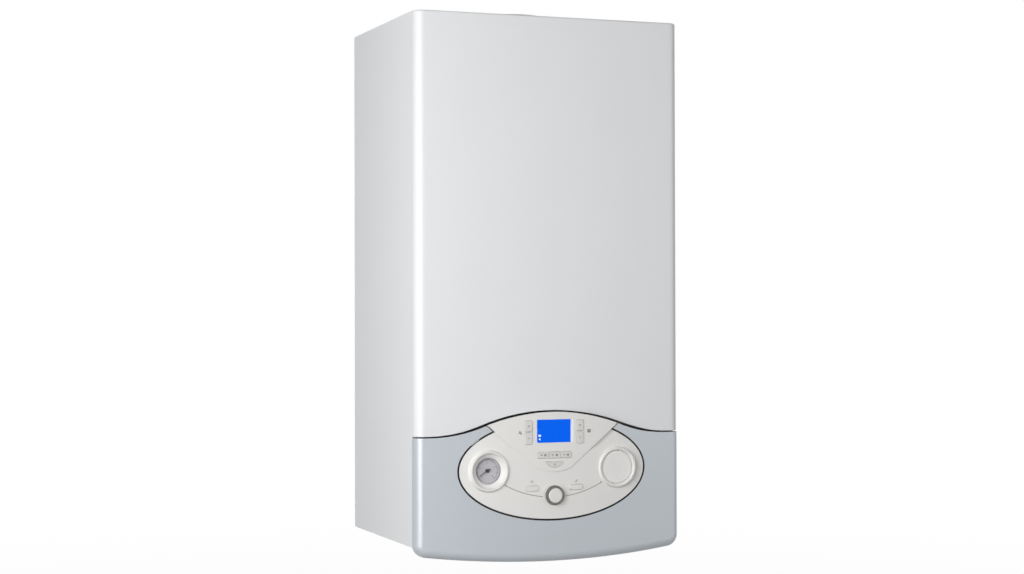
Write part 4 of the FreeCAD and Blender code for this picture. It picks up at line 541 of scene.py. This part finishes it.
def lit_display(name, colour, frame_colour):
    """Backlit display, uneven by a trace, in a dark frame."""
    fixed = {"Roughness": 0.35, "Specular IOR Level": 0.0, "Emission Strength": 1.0}
    finish = Finish(name, frame_colour, fixed)
    _, y, _ = finish.axes()
    face = y.below(front_of("lcd_module") + 0.2, 0.1)
    cloud = finish.noise(size=25, detail=1)
    glow = finish.mix(0.12 * cloud, colour, scaled(colour, 0.8))
    finish.feed("Emission Color", finish.mix(face, BLACK, glow))
    return finish.material


def gauge_dial(name, colours):
    """Pale gauge dial with printed divisions, in a grey can."""
    finish = Finish(name, colours.dial)
    x, _, height = finish.axes()
    dial_radius, scale_radius = 18.4, 15.8
    small_start, half_small, small_count = 14.6, 0.16, 40
    large_start, half_large, large_count = 13.4, 0.3, 8
    past_end = 0.02
    across = x - DIAL_X
    up = height - DIAL_HEIGHT
    out = distance(across, up)
    turned = (SCALE_START - up.bearing(across)) % math.tau
    from_small = turned.from_division(SCALE_SWEEP / small_count) * out
    from_large = turned.from_division(SCALE_SWEEP / large_count) * out
    small = from_small.below(half_small, 0.08) * out.between(small_start, scale_radius, 0.1)
    large = from_large.below(half_large, 0.1) * out.between(large_start, scale_radius, 0.1)
    circle = abs(out - scale_radius).below(half_small, 0.08)
    mark = small.highest(large).highest(circle) * turned.below(SCALE_SWEEP + past_end, 0.01)
    cloud = finish.noise(size=8)
    face = finish.mix(mark, finish.shade(cloud, 0.95), colours.dial_mark)
    finish.feed("Base Color", finish.mix(out.below(dial_radius, 0.1), colours.gauge_can, face))
    finish.roughen(cloud, least=0.3, more=0.1)
    return finish.material


def cast_metal(name, colour, roughness=0.5, metallic=0.9):
    """Sand- or die-cast metal with a pebbled skin."""
    finish = Finish(name, colour, {"Metallic": metallic})
    pebbles = finish.noise(size=1.6, detail=4)
    stain = finish.noise(size=35, detail=3)
    finish.feed("Base Color", finish.shade(stain, 0.8))
    finish.roughen(pebbles, least=roughness - 0.08, more=0.16)
    finish.bump(pebbles, strength=0.25, lift=0.2)
    return finish.material


def drawn_metal(name, colour, stretch, roughness=0.3):
    """Drawn or brushed metal; stretch says how its fine lines run."""
    finish = Finish(name, colour, {"Metallic": 1.0})
    lines = finish.noise(size=1.2, detail=3, stretch=stretch)
    tarnish = finish.noise(size=18, detail=3)
    finish.feed("Base Color", finish.shade(tarnish, 0.75))
    finish.roughen(lines, least=roughness - 0.06, more=0.2)
    finish.bump(lines, strength=0.1, lift=0.05)
    return finish.material


def water_block_finish(name, colour, brass):
    """Glass-filled plastic above the rail, brass for the tails below it."""
    finish = Finish(name, colour)
    _, _, height = finish.axes()
    rail_height = 51
    tail = height.below(rail_height)
    grain = finish.noise(size=0.9, detail=3)
    finish.feed("Base Color", finish.mix(tail, finish.shade(grain, 0.7), brass))
    finish.feed("Metallic", tail)
    finish.roughen(grain - 2 * tail, least=0.5, more=0.1)
    finish.bump(grain, strength=0.15, lift=0.08)
    return finish.material


def circuit_board(name, colours, board_face, side):
    """Green board with pale tracks; what stands on it, behind (1) or before (-1) its face, is dark."""
    finish = Finish(name, colours.board)
    x, y, z = finish.parts(finish.place)
    half_track = 0.4
    column, row = 7, 11
    upright = abs(x % column - column / 2).below(half_track, 0.15)
    level = abs(z % row - row / 2).below(half_track, 0.15)
    patchy = finish.noise(size=14, detail=1).above(0.5, 0.02)
    green = finish.mix(upright.highest(level) * patchy, finish.base, scaled(colours.board, 2.2))
    stands = (side * y).above(side * board_face, 0.2)
    finish.feed("Base Color", finish.mix(stands, green, colours.board_parts))
    finish.roughen(finish.noise(size=3), least=0.35, more=0.15)
    return finish.material


def printed_ink(name, colour, glow=0.0):
    """Screen-printed ink, or a lit symbol where it has a glow."""
    finish = Finish(name, colour, {"Roughness": 0.6, "Emission Strength": glow})
    finish.feed("Emission Color", finish.base)
    cover = finish.noise(size=0.4)
    finish.feed("Base Color", finish.shade(cover, 0.85))
    return finish.material


def floor_finish(name, colour):
    """Matt floor with a soft shadow near the boiler; further out it fades into the white background."""
    finish = Finish(name, colour, {"Roughness": 0.9})
    least_white = 0.96
    fade_middle, fade_half = 2600, 1400
    length = finish.node("ShaderNodeVectorMath", {"operation": "LENGTH"}, {0: finish.place})
    reach = Signal(finish, length.outputs["Value"])
    share = least_white + (1 - least_white) * reach.above(fade_middle, fade_half)
    glow = finish.node("ShaderNodeEmission", None, {"Color": as_colour(WHITE)})
    floor = finish.mix_shaders(finish.seen() * share, finish.shader, glow)
    finish.plug(finish.tree.nodes["Material Output"].inputs[0], floor.outputs[0])
    return finish.material


def colour_property(label, description, default):
    """A colour that the user can change."""
    return FloatVectorProperty(
        name=label, description=description, subtype="COLOR", size=3, min=0, max=1, default=default
    )


def number_property(label, description, default, **kind):
    """A number that the user can change."""
    return FloatProperty(name=label, description=description, default=default, min=0, **kind)


class BoilerFinishes(bpy.types.PropertyGroup):
    """Colours of the boiler's finishes."""

    casing: colour_property("Casing", "White enamel of the casing", (0.80, 0.81, 0.82))
    sheet: colour_property("Inner sheet", "Galvanised sheet", (0.60, 0.62, 0.63))
    # The brackets' black also stands in for the shade inside the joint in front of them.
    bracket: colour_property("Brackets", "Black steel behind the panel", (0.03, 0.03, 0.03))
    flue: colour_property("Flue", "Plastic of the flue", (0.72, 0.72, 0.70))
    fascia: colour_property("Fascia", "Silver moulding", (0.51, 0.545, 0.58))
    panel: colour_property("Panel", "Pale control panel", (0.80, 0.79, 0.77))
    # Colour of the painted highlight beside the display.
    bevel: colour_property("Bevel", "Bright bevel beside the display", (0.98, 0.98, 0.97))
    blank: colour_property("Timer blank", "Blank in the place of a timer", (0.856, 0.8453, 0.8239))
    button: colour_property("Buttons", "Pale buttons", (0.72, 0.71, 0.69))
    line: colour_property("Panel line", "Fine line across the panel", (0.30, 0.29, 0.27))
    ink: colour_property("Ink", "Printed symbols", (0.10, 0.10, 0.10))
    knob: colour_property("Knob", "Dark ring of the knob", (0.150, 0.150, 0.132))
    pane: colour_property("Panes", "Clear panes of display and gauge", (0.1, 0.105, 0.11))
    display: colour_property("Display", "Backlight of the display", (0.0, 0.125, 0.9))
    display_frame: colour_property("Display frame", "Dark frame of the display", (0.0, 0.002, 0.01))
    display_mark: colour_property("Display symbols", "Pale symbols on the display", (0.75, 0.85, 1.0))
    dial: colour_property("Dial", "Face of the gauge", (0.62, 0.60, 0.645))
    dial_mark: colour_property("Dial divisions", "Printed divisions of the gauge", (0.12, 0.12, 0.14))
    dial_number: colour_property("Dial numbers", "Printed numbers of the gauge", (0.10, 0.10, 0.12))
    gauge_can: colour_property("Gauge can", "Can of the gauge", (0.3, 0.3, 0.3))
    needle: colour_property("Needle", "Needle of the gauge", (0.02, 0.02, 0.02))
    # The control box is dark also to stand in for the shade seen through the gaps of the front.
    box: colour_property("Control box", "Dark plastic of the control box", (0.06, 0.062, 0.065))
    board: colour_property("Circuit boards", "Solder mask", (0.02, 0.17, 0.07))
    board_parts: colour_property("Board parts", "Parts on the circuit boards", (0.055, 0.055, 0.058))
    vessel: colour_property("Vessel", "Expansion vessel", (0.45, 0.04, 0.035))
    alloy: colour_property("Alloy", "Cast alloy", (0.60, 0.60, 0.59))
    motor: colour_property("Motors", "Cans of the motors", (0.28, 0.29, 0.30))
    steel: colour_property("Steel", "Brushed steel", (0.60, 0.58, 0.55))
    nylon: colour_property("Nylon", "Black nylon", (0.04, 0.04, 0.043))
    water_block: colour_property("Water blocks", "Glass-filled plastic", (0.07, 0.07, 0.075))
    trap: colour_property("Trap", "Plastic of the condensate trap", (0.62, 0.63, 0.62))
    hose: colour_property("Hose", "Rubber of the condensate hose", (0.03, 0.03, 0.03))
    brass: colour_property("Brass", "Machined brass", (0.70, 0.52, 0.25))
    copper: colour_property("Copper", "Drawn copper", (0.72, 0.36, 0.22))
    screw: colour_property("Screws", "Steel of the screws", (0.55, 0.55, 0.54))


class BoilerSizes(bpy.types.PropertyGroup):
    """Sizes of the small pieces."""

    screw_radius: number_property("Screw radius", "Half the width of a screw's head", 0.0035, unit="LENGTH")
    screw_rise: number_property("Screw rise", "Height of a screw's head", 0.0019, unit="LENGTH")
    number_size: number_property("Number size", "Size of the gauge's numbers", 0.0034, unit="LENGTH")


class BoilerStudio(bpy.types.PropertyGroup):
    """Camera, lamps and floor."""

    lens: number_property("Lens", "Focal length on a 36 mm frame", 67.94, unit="CAMERA")
    key_power: number_property("Key lamp", "Power of the lamp at the left", 25.5, unit="POWER")
    fill_power: number_property("Fill lamp", "Power of the lamp at the right", 12, unit="POWER")
    room: number_property("Room light", "Strength of the even light", 0.40, subtype="FACTOR", soft_max=1)
    floor_drop: number_property("Floor drop", "From the boiler's foot to the floor", 0.35, unit="LENGTH")
    floor: colour_property("Floor", "Matt floor", (0.12, 0.12, 0.12))
    walls: colour_property("Walls", "Light from the sides of the room", (0.97, 0.985, 1.0))
    ceiling: colour_property("Ceiling", "Light from the top of the room", (0.8, 0.8, 0.8))


def finishes():
    """The colours that the user has set."""
    return bpy.context.scene.boiler_finishes


def paint(material, *nodes):
    """Give CAD nodes a finish."""
    for name in nodes:
        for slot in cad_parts[name].material_slots:
            slot.material = material


def new_piece(name, mesh, body, material):
    """A visual piece that rides a body of the boiler."""
    piece = bpy.data.objects.new(name, mesh)
    bpy.context.scene.collection.objects.link(piece)
    mesh.materials.append(material)
    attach(piece, body)


def stroke(points, width):
    """Quads along a line of (x, height) points."""
    quads = []
    for (x0, h0), (x1, h1) in zip(points, points[1:]):
        length = math.hypot(x1 - x0, h1 - h0)
        nx = -(h1 - h0) / length * width / 2
        nh = (x1 - x0) / length * width / 2
        quads.append([(x0 - nx, h0 - nh), (x1 - nx, h1 - nh), (x1 + nx, h1 + nh), (x0 + nx, h0 + nh)])
    return quads


def round_spots(x, height, radius, angles):
    """Points round a centre, at angles in degrees."""
    turns = [math.radians(angle) for angle in angles]
    return [(x + radius * math.cos(turn), height + radius * math.sin(turn)) for turn in turns]


def arc(x, height, radius, first, last, count):
    """Points of an arc, angles in degrees."""
    step = (last - first) / count
    return round_spots(x, height, radius, [first + step * index for index in range(count + 1)])


def skin(builder, rings):
    """Closed surface over rings of corners, from the first ring to the last."""
    for lower, upper in zip(rings, rings[1:]):
        for index in range(len(lower)):
            after = (index + 1) % len(lower)
            builder.faces.new((lower[index], lower[after], upper[after], upper[index]))
    builder.faces.new(rings[-1])
    builder.faces.new(list(reversed(rings[0])))


def finished_mesh(name, builder):
    """Mesh with its faces turned outwards."""
    bmesh.ops.recalc_face_normals(builder, faces=builder.faces[:])
    mesh = bpy.data.meshes.new(name)
    builder.to_mesh(mesh)
    builder.free()
    return mesh


def print_mesh(name, shapes, depth_at):
    """Thin raised print: flat shapes of (x, height) laid on the front at depth_at(x)."""
    builder = bmesh.new()
    for shape in shapes:
        rings = []
        for lift in (-PRINT_ROOT, PRINT_THICKNESS):
            spots = [Vector((x, -(depth_at(x) + lift), height - HANG_HEIGHT)) for x, height in shape]
            rings.append([builder.verts.new(spot * MM) for spot in spots])
        skin(builder, rings)
    return finished_mesh(name, builder)


def minus_sign(x, height, size):
    """A minus sign."""
    return stroke([(x - size, height), (x + size, height)], SIGN_WIDTH)


def plus_sign(x, height, size):
    """A plus sign."""
    return minus_sign(x, height, size) + stroke([(x, height - size), (x, height + size)], SIGN_WIDTH)


def drawn_lines(x, height, size, lines):
    """Strokes of a symbol; its lines hold points and a width, in shares of its size."""
    shapes = []
    for points, width in lines:
        placed = [(x + across * size, height + up * size) for across, up in points]
        shapes += stroke(placed, width * size)
    return shapes


def tap_symbol(x, height, size):
    """A tap: body, spout, stem and handle."""
    lines = [
        ([(-1, 0.2), (0.5, 0.2)], 0.5),
        ([(0.45, 0.45), (0.45, -0.7)], 0.45),
        ([(-0.3, 0.4), (-0.3, 0.9)], 0.3),
        ([(-0.8, 0.95), (0.2, 0.95)], 0.3),
    ]
    return drawn_lines(x, height, size, lines)


def radiator_symbol(x, height, size):
    """A radiator: upright bars joined near the top and bottom."""
    bars = [([(share, -1), (share, 1)], 0.3) for share in (-1, -0.5, 0, 0.5, 1)]
    joins = [([(-1, share), (1, share)], 0.25) for share in (-0.6, 0.6)]
    return drawn_lines(x, height, size, bars + joins)


def tick_symbol(x, height, size):
    """A tick."""
    return drawn_lines(x, height, size, [([(-1, 0), (-0.3, -0.8), (1, 0.9)], 0.35)])


def return_arrow(x, height, size):
    """An arrow that bends back."""
    bend = arc(x, height, size, first=170, last=-100, count=10)
    tip_x, tip_height = bend[0]
    corners = ((-0.55, 0.1), (0, -0.7), (0.55, 0.1))
    head = [(tip_x + across * size, tip_height + up * size) for across, up in corners]
    return [*stroke(bend, 0.28 * size), head]


def power_symbol(x, height, size):
    """An open ring with a bar at its top."""
    ring = stroke(arc(x, height, size, first=125, last=415, count=14), 0.3 * size)
    return ring + drawn_lines(x, height, size, [([(0, 0), (0, 1.3)], 0.3)])


def digit_mesh(name, text, size):
    """A printed number as a thin mesh, standing upright and facing the front."""
    curve = bpy.data.curves.new(name, "FONT")
    curve.body = text
    curve.size = size
    curve.extrude = PRINT_THICKNESS / 2 * MM
    curve.align_x = "CENTER"
    curve.align_y = "CENTER"
    curve.resolution_u = 3
    writer = bpy.data.objects.new(name, curve)
    bpy.context.scene.collection.objects.link(writer)
    bpy.context.view_layer.update()
    mesh = bpy.data.meshes.new_from_object(writer.evaluated_get(bpy.context.evaluated_depsgraph_get()))
    bpy.data.objects.remove(writer)
    bpy.data.curves.remove(curve)
    mesh.transform(Matrix.Rotation(math.radians(90), 4, "X"))
    return mesh


def screw_heads(name, spots, normal, radius, rise):
    """Domed screw heads with a fine cross on top, all facing along normal."""
    builder = bmesh.new()
    upright = Vector((0, 0, 1)).rotation_difference(Vector(normal)).to_matrix().to_4x4()
    sides = range(0, 360, 18)
    # Shares of radius and rise, from the foot of the head to its top.
    profile = ((1.0, 0.0), (1.0, 0.45), (0.86, 0.8), (0.55, 1.0))
    arm = 0.5 * radius
    half = 0.13 * radius
    quarter = [(arm, half), (half, half), (half, arm)]
    cross = quarter + [(-u, v) for u, v in reversed(quarter)]
    cross += [(-u, -v) for u, v in cross]
    cross_foot, cross_top = 0.9, 1.02
    for spot in spots:
        here = Matrix.Translation(Vector(spot) * MM) @ upright
        dome = [(round_spots(0, 0, radius * share, sides), rise * lift) for share, lift in profile]
        ridge = [(cross, rise * cross_foot), (cross, rise * cross_top)]
        for levels in (dome, ridge):
            rings = []
            for outline, lift in levels:
                corners = [here @ (Vector((u, v, lift)) * MM) for u, v in outline]
                rings.append([builder.verts.new(corner) for corner in corners])
            skin(builder, rings)
    return finished_mesh(name, builder)


class BOILER_OT_casing(bpy.types.Operator):
    """Finish the outer casing and the sheet inside it"""

    bl_idname = "boiler.casing"
    bl_label = "Casing"

    def execute(self, context):
        colours = finishes()
        enamel = powder_coat("casing_enamel", colours.casing)
        paint(enamel, "front_cover", "left_side_panel", "right_side_panel", "top_panel")
        zinc = galvanised("zinc_sheet", colours.sheet)
        paint(zinc, "rear_frame", "pipe_rail", "combustion_chamber", "chamber_lid")
        black = cast_metal("black_steel", colours.bracket, roughness=0.55, metallic=0.2)
        paint(black, "panel_supports")
        flue = plain_moulding("flue_moulding", colours.flue)
        paint(flue, "flue_pipe", "flue_collar")
        return {"FINISHED"}


class BOILER_OT_front(bpy.types.Operator):
    """Finish the fascia, the control panel and what is set into it"""

    bl_idname = "boiler.front"
    bl_label = "Front"

    def execute(self, context):
        colours = finishes()
        paint(silver_moulding("silver_fascia", colours.fascia), "fascia")
        paint(panel_moulding("pale_panel", colours), "control_panel")
        buttons = [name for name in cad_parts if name.endswith("_button")]
        paint(plain_moulding("pale_keys", colours.button), *buttons)
        paint(plain_moulding("pale_trim", colours.panel), "knob_cap", "reset_button", "menu_button")
        paint(plain_moulding("pale_blank", colours.blank), "clock_blank")
        paint(plain_moulding("dark_knob", colours.knob, roughness=0.5, grain_size=0.5), "knob_ring")
        paint(clear_pane("clear_pane", colours.pane, alpha=0.02), "display_window", "gauge_glass")
        paint(lit_display("lit_display", colours.display, colours.display_frame), "lcd_module")
        paint(gauge_dial("gauge_dial", colours), "gauge_body")
        paint(plain_moulding("needle_black", colours.needle, roughness=0.4), "gauge_needle")
        grey = plain_moulding("box_moulding", colours.box, roughness=0.55, grain_size=1.2)
        paint(grey, "control_box", "control_box_lid")
        near_face = front_of("main_board") + BOARD_WALL
        paint(circuit_board("main_board_mask", colours, near_face, side=1), "main_board")
        far_face = box_mm("display_board")[1][1] - BOARD_WALL
        paint(circuit_board("display_board_mask", colours, far_face, side=-1), "display_board")
        return {"FINISHED"}


class BOILER_OT_works(bpy.types.Operator):
    """Finish the burner, fan, pump, water blocks and pipes"""

    bl_idname = "boiler.works"
    bl_label = "Works"

    def execute(self, context):
        colours = finishes()
        along_x = (0.1, 1.0, 1.0)
        along_z = (1.0, 1.0, 0.1)
        vessel = cast_metal("vessel_enamel", colours.vessel, roughness=0.35, metallic=0.0)
        paint(vessel, "expansion_vessel")
        paint(cast_metal("cast_alloy", colours.alloy), "heat_exchanger", "burner_door", "gas_valve")
        paint(cast_metal("motor_cans", colours.motor, roughness=0.4), "pump_motor", "fan_motor")
        steel = drawn_metal("brushed_steel", colours.steel, along_x)
        paint(steel, "burner_tube", "ignition_electrodes", "plate_exchanger")
        black = plain_moulding("black_nylon", colours.nylon, roughness=0.5, grain_size=0.9)
        paint(black, "fan_housing", "fan_wheel", "air_gas_mixer")
        paint(black, "diverter_motor", "pump_impeller", "filling_tap")
        blocks = water_block_finish("water_blocks", colours.water_block, colours.brass)
        paint(blocks, "flow_block", "return_block")
        paint(plain_moulding("trap_moulding", colours.trap, roughness=0.5), "condensate_trap")
        rubber = plain_moulding("hose_rubber", colours.hose, roughness=0.7, grain_size=0.6)
        paint(rubber, "condensate_hose")
        copper = drawn_metal("drawn_copper", colours.copper, along_z)
        paint(copper, "flow_pipe", "return_pipe", "vessel_pipe")
        brass = drawn_metal("turned_brass", colours.brass, along_z)
        paint(brass, "gas_pipe", "gas_feed_pipe", "safety_valve")
        return {"FINISHED"}


class BOILER_OT_prints(bpy.types.Operator):
    """Print the symbols on the panel, the keys and the display"""

    bl_idname = "boiler.prints"
    bl_label = "Prints"

    def execute(self, context):
        colours = finishes()
        ink = printed_ink("printed_ink", colours.ink)
        for name, shapes, depth_at in self.panel_symbols():
            new_piece(name, print_mesh(name, shapes, depth_at), "tilting_panel", ink)
        for key, shapes in self.key_symbols():
            mesh = print_mesh(f"{key}_print", shapes, face_depth(f"{key}_button"))
            new_piece(f"{key}_print", mesh, f"{key}_key", ink)
        glow = printed_ink("display_symbols", colours.display_mark, glow=0.8)
        shapes = radiator_symbol(-20.5, 177.3, 1.5) + tap_symbol(-20.3, 171.8, 1.5)
        mesh = print_mesh("display_marks", shapes, face_depth("lcd_module"))
        new_piece("display_marks", mesh, "tilting_panel", glow)
        return {"FINISHED"}

    def panel_symbols(self):
        """Name, shapes and depth of the symbols on the panel."""
        return (
            ("tap_print", tap_symbol(-51, 181.5, 2.6), shield_depth),
            ("radiator_print", radiator_symbol(53, 182.7, 2.3), shield_depth),
            ("reset_print", return_arrow(-33.5, 113, 1.7), bow_depth),
            ("accept_print", tick_symbol(33.5, 112.5, 2.0), bow_depth),
        )

    def key_symbols(self):
        """Key and shapes of the symbols on the keys."""
        pair_x, plus_height, minus_height = 38.8, 191.4, 174.1
        row_height, power_height = 150.1, 136.8
        sign, tap, radiator = 1.3, 1.5, 1.4
        return (
            ("hot_water_plus", plus_sign(-pair_x, plus_height, sign)),
            ("hot_water_minus", minus_sign(-pair_x, minus_height, sign)),
            ("heating_plus", plus_sign(pair_x, plus_height, sign)),
            ("heating_minus", minus_sign(pair_x, minus_height, sign)),
            ("mode", tap_symbol(-20, row_height, tap) + radiator_symbol(-14.5, row_height, radiator)),
            ("comfort", tap_symbol(-3.5, row_height, tap) + radiator_symbol(3, row_height, radiator)),
            ("auto", return_arrow(14.5, row_height, 1.2) + radiator_symbol(20, row_height, radiator)),
            ("power", power_symbol(0, power_height, sign)),
        )


class BOILER_OT_dial_numbers(bpy.types.Operator):
    """Print the numbers of the pressure gauge"""

    bl_idname = "boiler.dial_numbers"
    bl_label = "Dial numbers"

    def execute(self, context):
        ink = printed_ink("dial_ink", finishes().dial_number)
        size = context.scene.boiler_sizes.number_size
        number_radius = 11.2
        middle_y = front_of("gauge_body") + DIAL_DEPTH - PRINT_THICKNESS / 2
        for number in range(HIGHEST_NUMBER + 1):
            turn = SCALE_START - SCALE_SWEEP * number / HIGHEST_NUMBER
            x = DIAL_X + number_radius * math.cos(turn)
            height = DIAL_HEIGHT + number_radius * math.sin(turn)
            mesh = digit_mesh(f"dial_number_{number}", str(number), size)
            mesh.transform(Matrix.Translation(Vector((x, middle_y, height - HANG_HEIGHT)) * MM))
            new_piece(f"dial_number_{number}", mesh, "tilting_panel", ink)
        return {"FINISHED"}


def along(first, last, shares):
    """Places between two ends, at shares of the way."""
    return [first + (last - first) * share for share in shares]


def lid_screws():
    """Along the four edges of the chamber lid's flange."""
    low, high = box_mm("chamber_lid")
    inset = 9
    sheet = 1.2
    face = high[1] - sheet
    left, right = low[0] + inset, high[0] - inset
    foot, top = low[2] + inset, high[2] - inset
    upright = [(x, face, z) for x in (left, right) for z in along(foot, top, (0, 0.25, 0.5, 0.75, 1))]
    level = [(x, face, z) for z in (foot, top) for x in along(left, right, (0.25, 0.5, 0.75))]
    return upright + level


def fan_screws():
    """Through the fan motor's flange."""
    low, high = box_mm("fan_motor")
    flange_wall = 3
    ring_radius = 44
    middle_x, middle_z = (low[0] + high[0]) / 2, (low[2] + high[2]) / 2
    ring = round_spots(middle_x, middle_z, ring_radius, CORNER_ANGLES)
    return [(x, high[1] - flange_wall, z) for x, z in ring]


def door_screws():
    """Round the rim of the burner door."""
    low, high = box_mm("burner_door")
    door_radius = 88
    door_wall = 12
    inset = 8
    middle_z = (low[2] + high[2]) / 2
    ring = round_spots(high[0] - door_radius, middle_z, door_radius - inset, range(30, 390, 60))
    return [(x, high[1] - door_wall, z) for x, z in ring]


def collar_screws():
    """On the flange of the flue collar."""
    low, high = box_mm("flue_collar")
    flange_top = 42.3
    ring_radius = 58
    ring = round_spots(0, (low[1] + high[1]) / 2, ring_radius, CORNER_ANGLES)
    return [(x, y, flange_top) for x, y in ring]


def box_screws():
    """In the corners of the control box's lid."""
    low, high = box_mm("control_box_lid")
    inset = 8
    columns = (low[0] + inset, high[0] - inset)
    rows = (low[2] + inset, high[2] - inset)
    return [(x, high[1], z) for x in columns for z in rows]


class BOILER_OT_fasteners(bpy.types.Operator):
    """Add the screws of the chamber lid, fan, burner door, flue collar and control box"""

    bl_idname = "boiler.fasteners"
    bl_label = "Fasteners"

    def execute(self, context):
        sizes = context.scene.boiler_sizes
        even = (1.0, 1.0, 1.0)
        steel = drawn_metal("screw_steel", finishes().screw, even, roughness=0.28)
        groups = (
            ("lid_screws", lid_screws(), FORWARD, "casing"),
            ("fan_screws", fan_screws(), FORWARD, "casing"),
            ("door_screws", door_screws(), FORWARD, "casing"),
            ("collar_screws", collar_screws(), UPWARD, "casing"),
            ("box_screws", box_screws(), BACKWARD, "tilting_panel"),
        )
        for name, spots, normal, body in groups:
            mesh = screw_heads(name, spots, normal, sizes.screw_radius / MM, sizes.screw_rise / MM)
            new_piece(name, mesh, body, steel)
        return {"FINISHED"}


class BOILER_OT_studio(bpy.types.Operator):
    """Set the floor, lamps, background and camera"""

    bl_idname = "boiler.studio"
    bl_label = "Studio"

    def execute(self, context):
        scene = context.scene
        studio = scene.boiler_studio
        scene.view_settings.view_transform = "Standard"
        foot = cad_box[0][2]
        self.lay_floor(foot - studio.floor_drop, studio.floor)
        self.light_room(scene, studio)
        self.hang_lamp("key_lamp", away=(-1.2, -1.15, 0.1), size=1.2, power=studio.key_power)
        self.hang_lamp("fill_lamp", away=(1.95, -1.6, 0.35), size=1.8, power=studio.fill_power)
        self.set_camera(scene, studio.lens)
        return {"FINISHED"}

    def lay_floor(self, height, colour):
        """A wide floor that belongs to the stage."""
        half = 12.0
        corners = [(-half, -half), (half, -half), (half, half), (-half, half)]
        mesh = bpy.data.meshes.new("floor")
        mesh.from_pydata([(x, y, height) for x, y in corners], [], [(0, 1, 2, 3)])
        mesh.materials.append(floor_finish("pale_floor", colour))
        floor = bpy.data.objects.new("floor", mesh)
        bpy.context.scene.collection.objects.link(floor)

    def light_room(self, scene, studio):
        """Even light that is weaker from the ceiling, with a background that looks white."""
        ceiling_share = 0.4
        world = bpy.data.worlds.new("studio")
        scene.world = world
        world.use_nodes = True
        room = Nodes(world.node_tree)
        walls = room.tree.nodes["Background"]
        room.plug(walls.inputs["Color"], as_colour(studio.walls))
        room.plug(walls.inputs["Strength"], studio.room)
        dim = {"Color": as_colour(studio.ceiling), "Strength": studio.room * ceiling_share}
        ceiling = room.node("ShaderNodeBackground", None, dim)
        _, _, upward = room.parts(room.node("ShaderNodeTexCoord").outputs["Generated"])
        light = room.mix_shaders(upward.above(0.275, 0.225), walls, ceiling)
        white = room.node("ShaderNodeBackground", None, {"Color": as_colour(WHITE)})
        shown = room.mix_shaders(room.seen(), light, white)
        room.plug(room.tree.nodes["World Output"].inputs[0], shown.outputs[0])

    def hang_lamp(self, name, away, size, power):
        """A square lamp that looks at the boiler's middle; away, in metres, is counted from there."""
        middle = Vector((0, -0.16, -0.34))
        lamp = bpy.data.lights.new(name, "AREA")
        lamp.shape = "SQUARE"
        lamp.size = size
        lamp.energy = power
        holder = bpy.data.objects.new(name, lamp)
        holder.location = middle + Vector(away)
        holder.rotation_euler = (-Vector(away)).to_track_quat("-Z", "Y").to_euler()
        bpy.context.scene.collection.objects.link(holder)

    def set_camera(self, scene, lens):
        """Camera solved from the straight edges of the casing."""
        yaw = math.radians(20.776)
        pitch = math.radians(0.591)
        roll = math.radians(-0.131)
        spot = Vector((-1020.4, -2838.2, 358.4 - HANG_HEIGHT)) * MM
        ahead = Vector((math.sin(yaw) * math.cos(pitch), math.cos(yaw) * math.cos(pitch), math.sin(pitch)))
        level = Vector((math.cos(yaw), -math.sin(yaw), 0))
        rise = level.cross(ahead)
        right = math.cos(roll) * level + math.sin(roll) * rise
        up = math.cos(roll) * rise - math.sin(roll) * level
        camera = bpy.data.cameras.new("camera")
        camera.lens = lens
        camera.sensor_width = 36
        holder = bpy.data.objects.new("camera", camera)
        turn = Matrix((right, up, -ahead)).transposed().to_4x4()
        holder.matrix_world = Matrix.Translation(spot) @ turn
        scene.collection.objects.link(holder)
        scene.camera = holder


OPERATORS = (
    BOILER_OT_casing,
    BOILER_OT_front,
    BOILER_OT_works,
    BOILER_OT_prints,
    BOILER_OT_dial_numbers,
    BOILER_OT_fasteners,
    BOILER_OT_studio,
)


class BOILER_PT_panel(bpy.types.Panel):
    """Boiler tools in the sidebar"""

    bl_idname = "BOILER_PT_panel"
    bl_label = "Boiler"
    bl_space_type = "VIEW_3D"
    bl_region_type = "UI"
    bl_category = "Boiler"

    def draw(self, context):
        for operator in OPERATORS:
            self.layout.operator(operator.bl_idname)


CLASSES = (BoilerFinishes, BoilerSizes, BoilerStudio, *OPERATORS, BOILER_PT_panel)


def register():
    for entry in CLASSES:
        bpy.utils.register_class(entry)
    bpy.types.Scene.boiler_finishes = PointerProperty(type=BoilerFinishes)
    bpy.types.Scene.boiler_sizes = PointerProperty(type=BoilerSizes)
    bpy.types.Scene.boiler_studio = PointerProperty(type=BoilerStudio)


def unregister():
    del bpy.types.Scene.boiler_studio
    del bpy.types.Scene.boiler_sizes
    del bpy.types.Scene.boiler_finishes
    for entry in reversed(CLASSES):
        bpy.utils.unregister_class(entry)


def main():
    register()
    bpy.ops.boiler.casing()
    bpy.ops.boiler.front()
    bpy.ops.boiler.works()
    bpy.ops.boiler.prints()
    bpy.ops.boiler.dial_numbers()
    bpy.ops.boiler.fasteners()
    bpy.ops.boiler.studio()


if __name__ == "__main__":
    main()
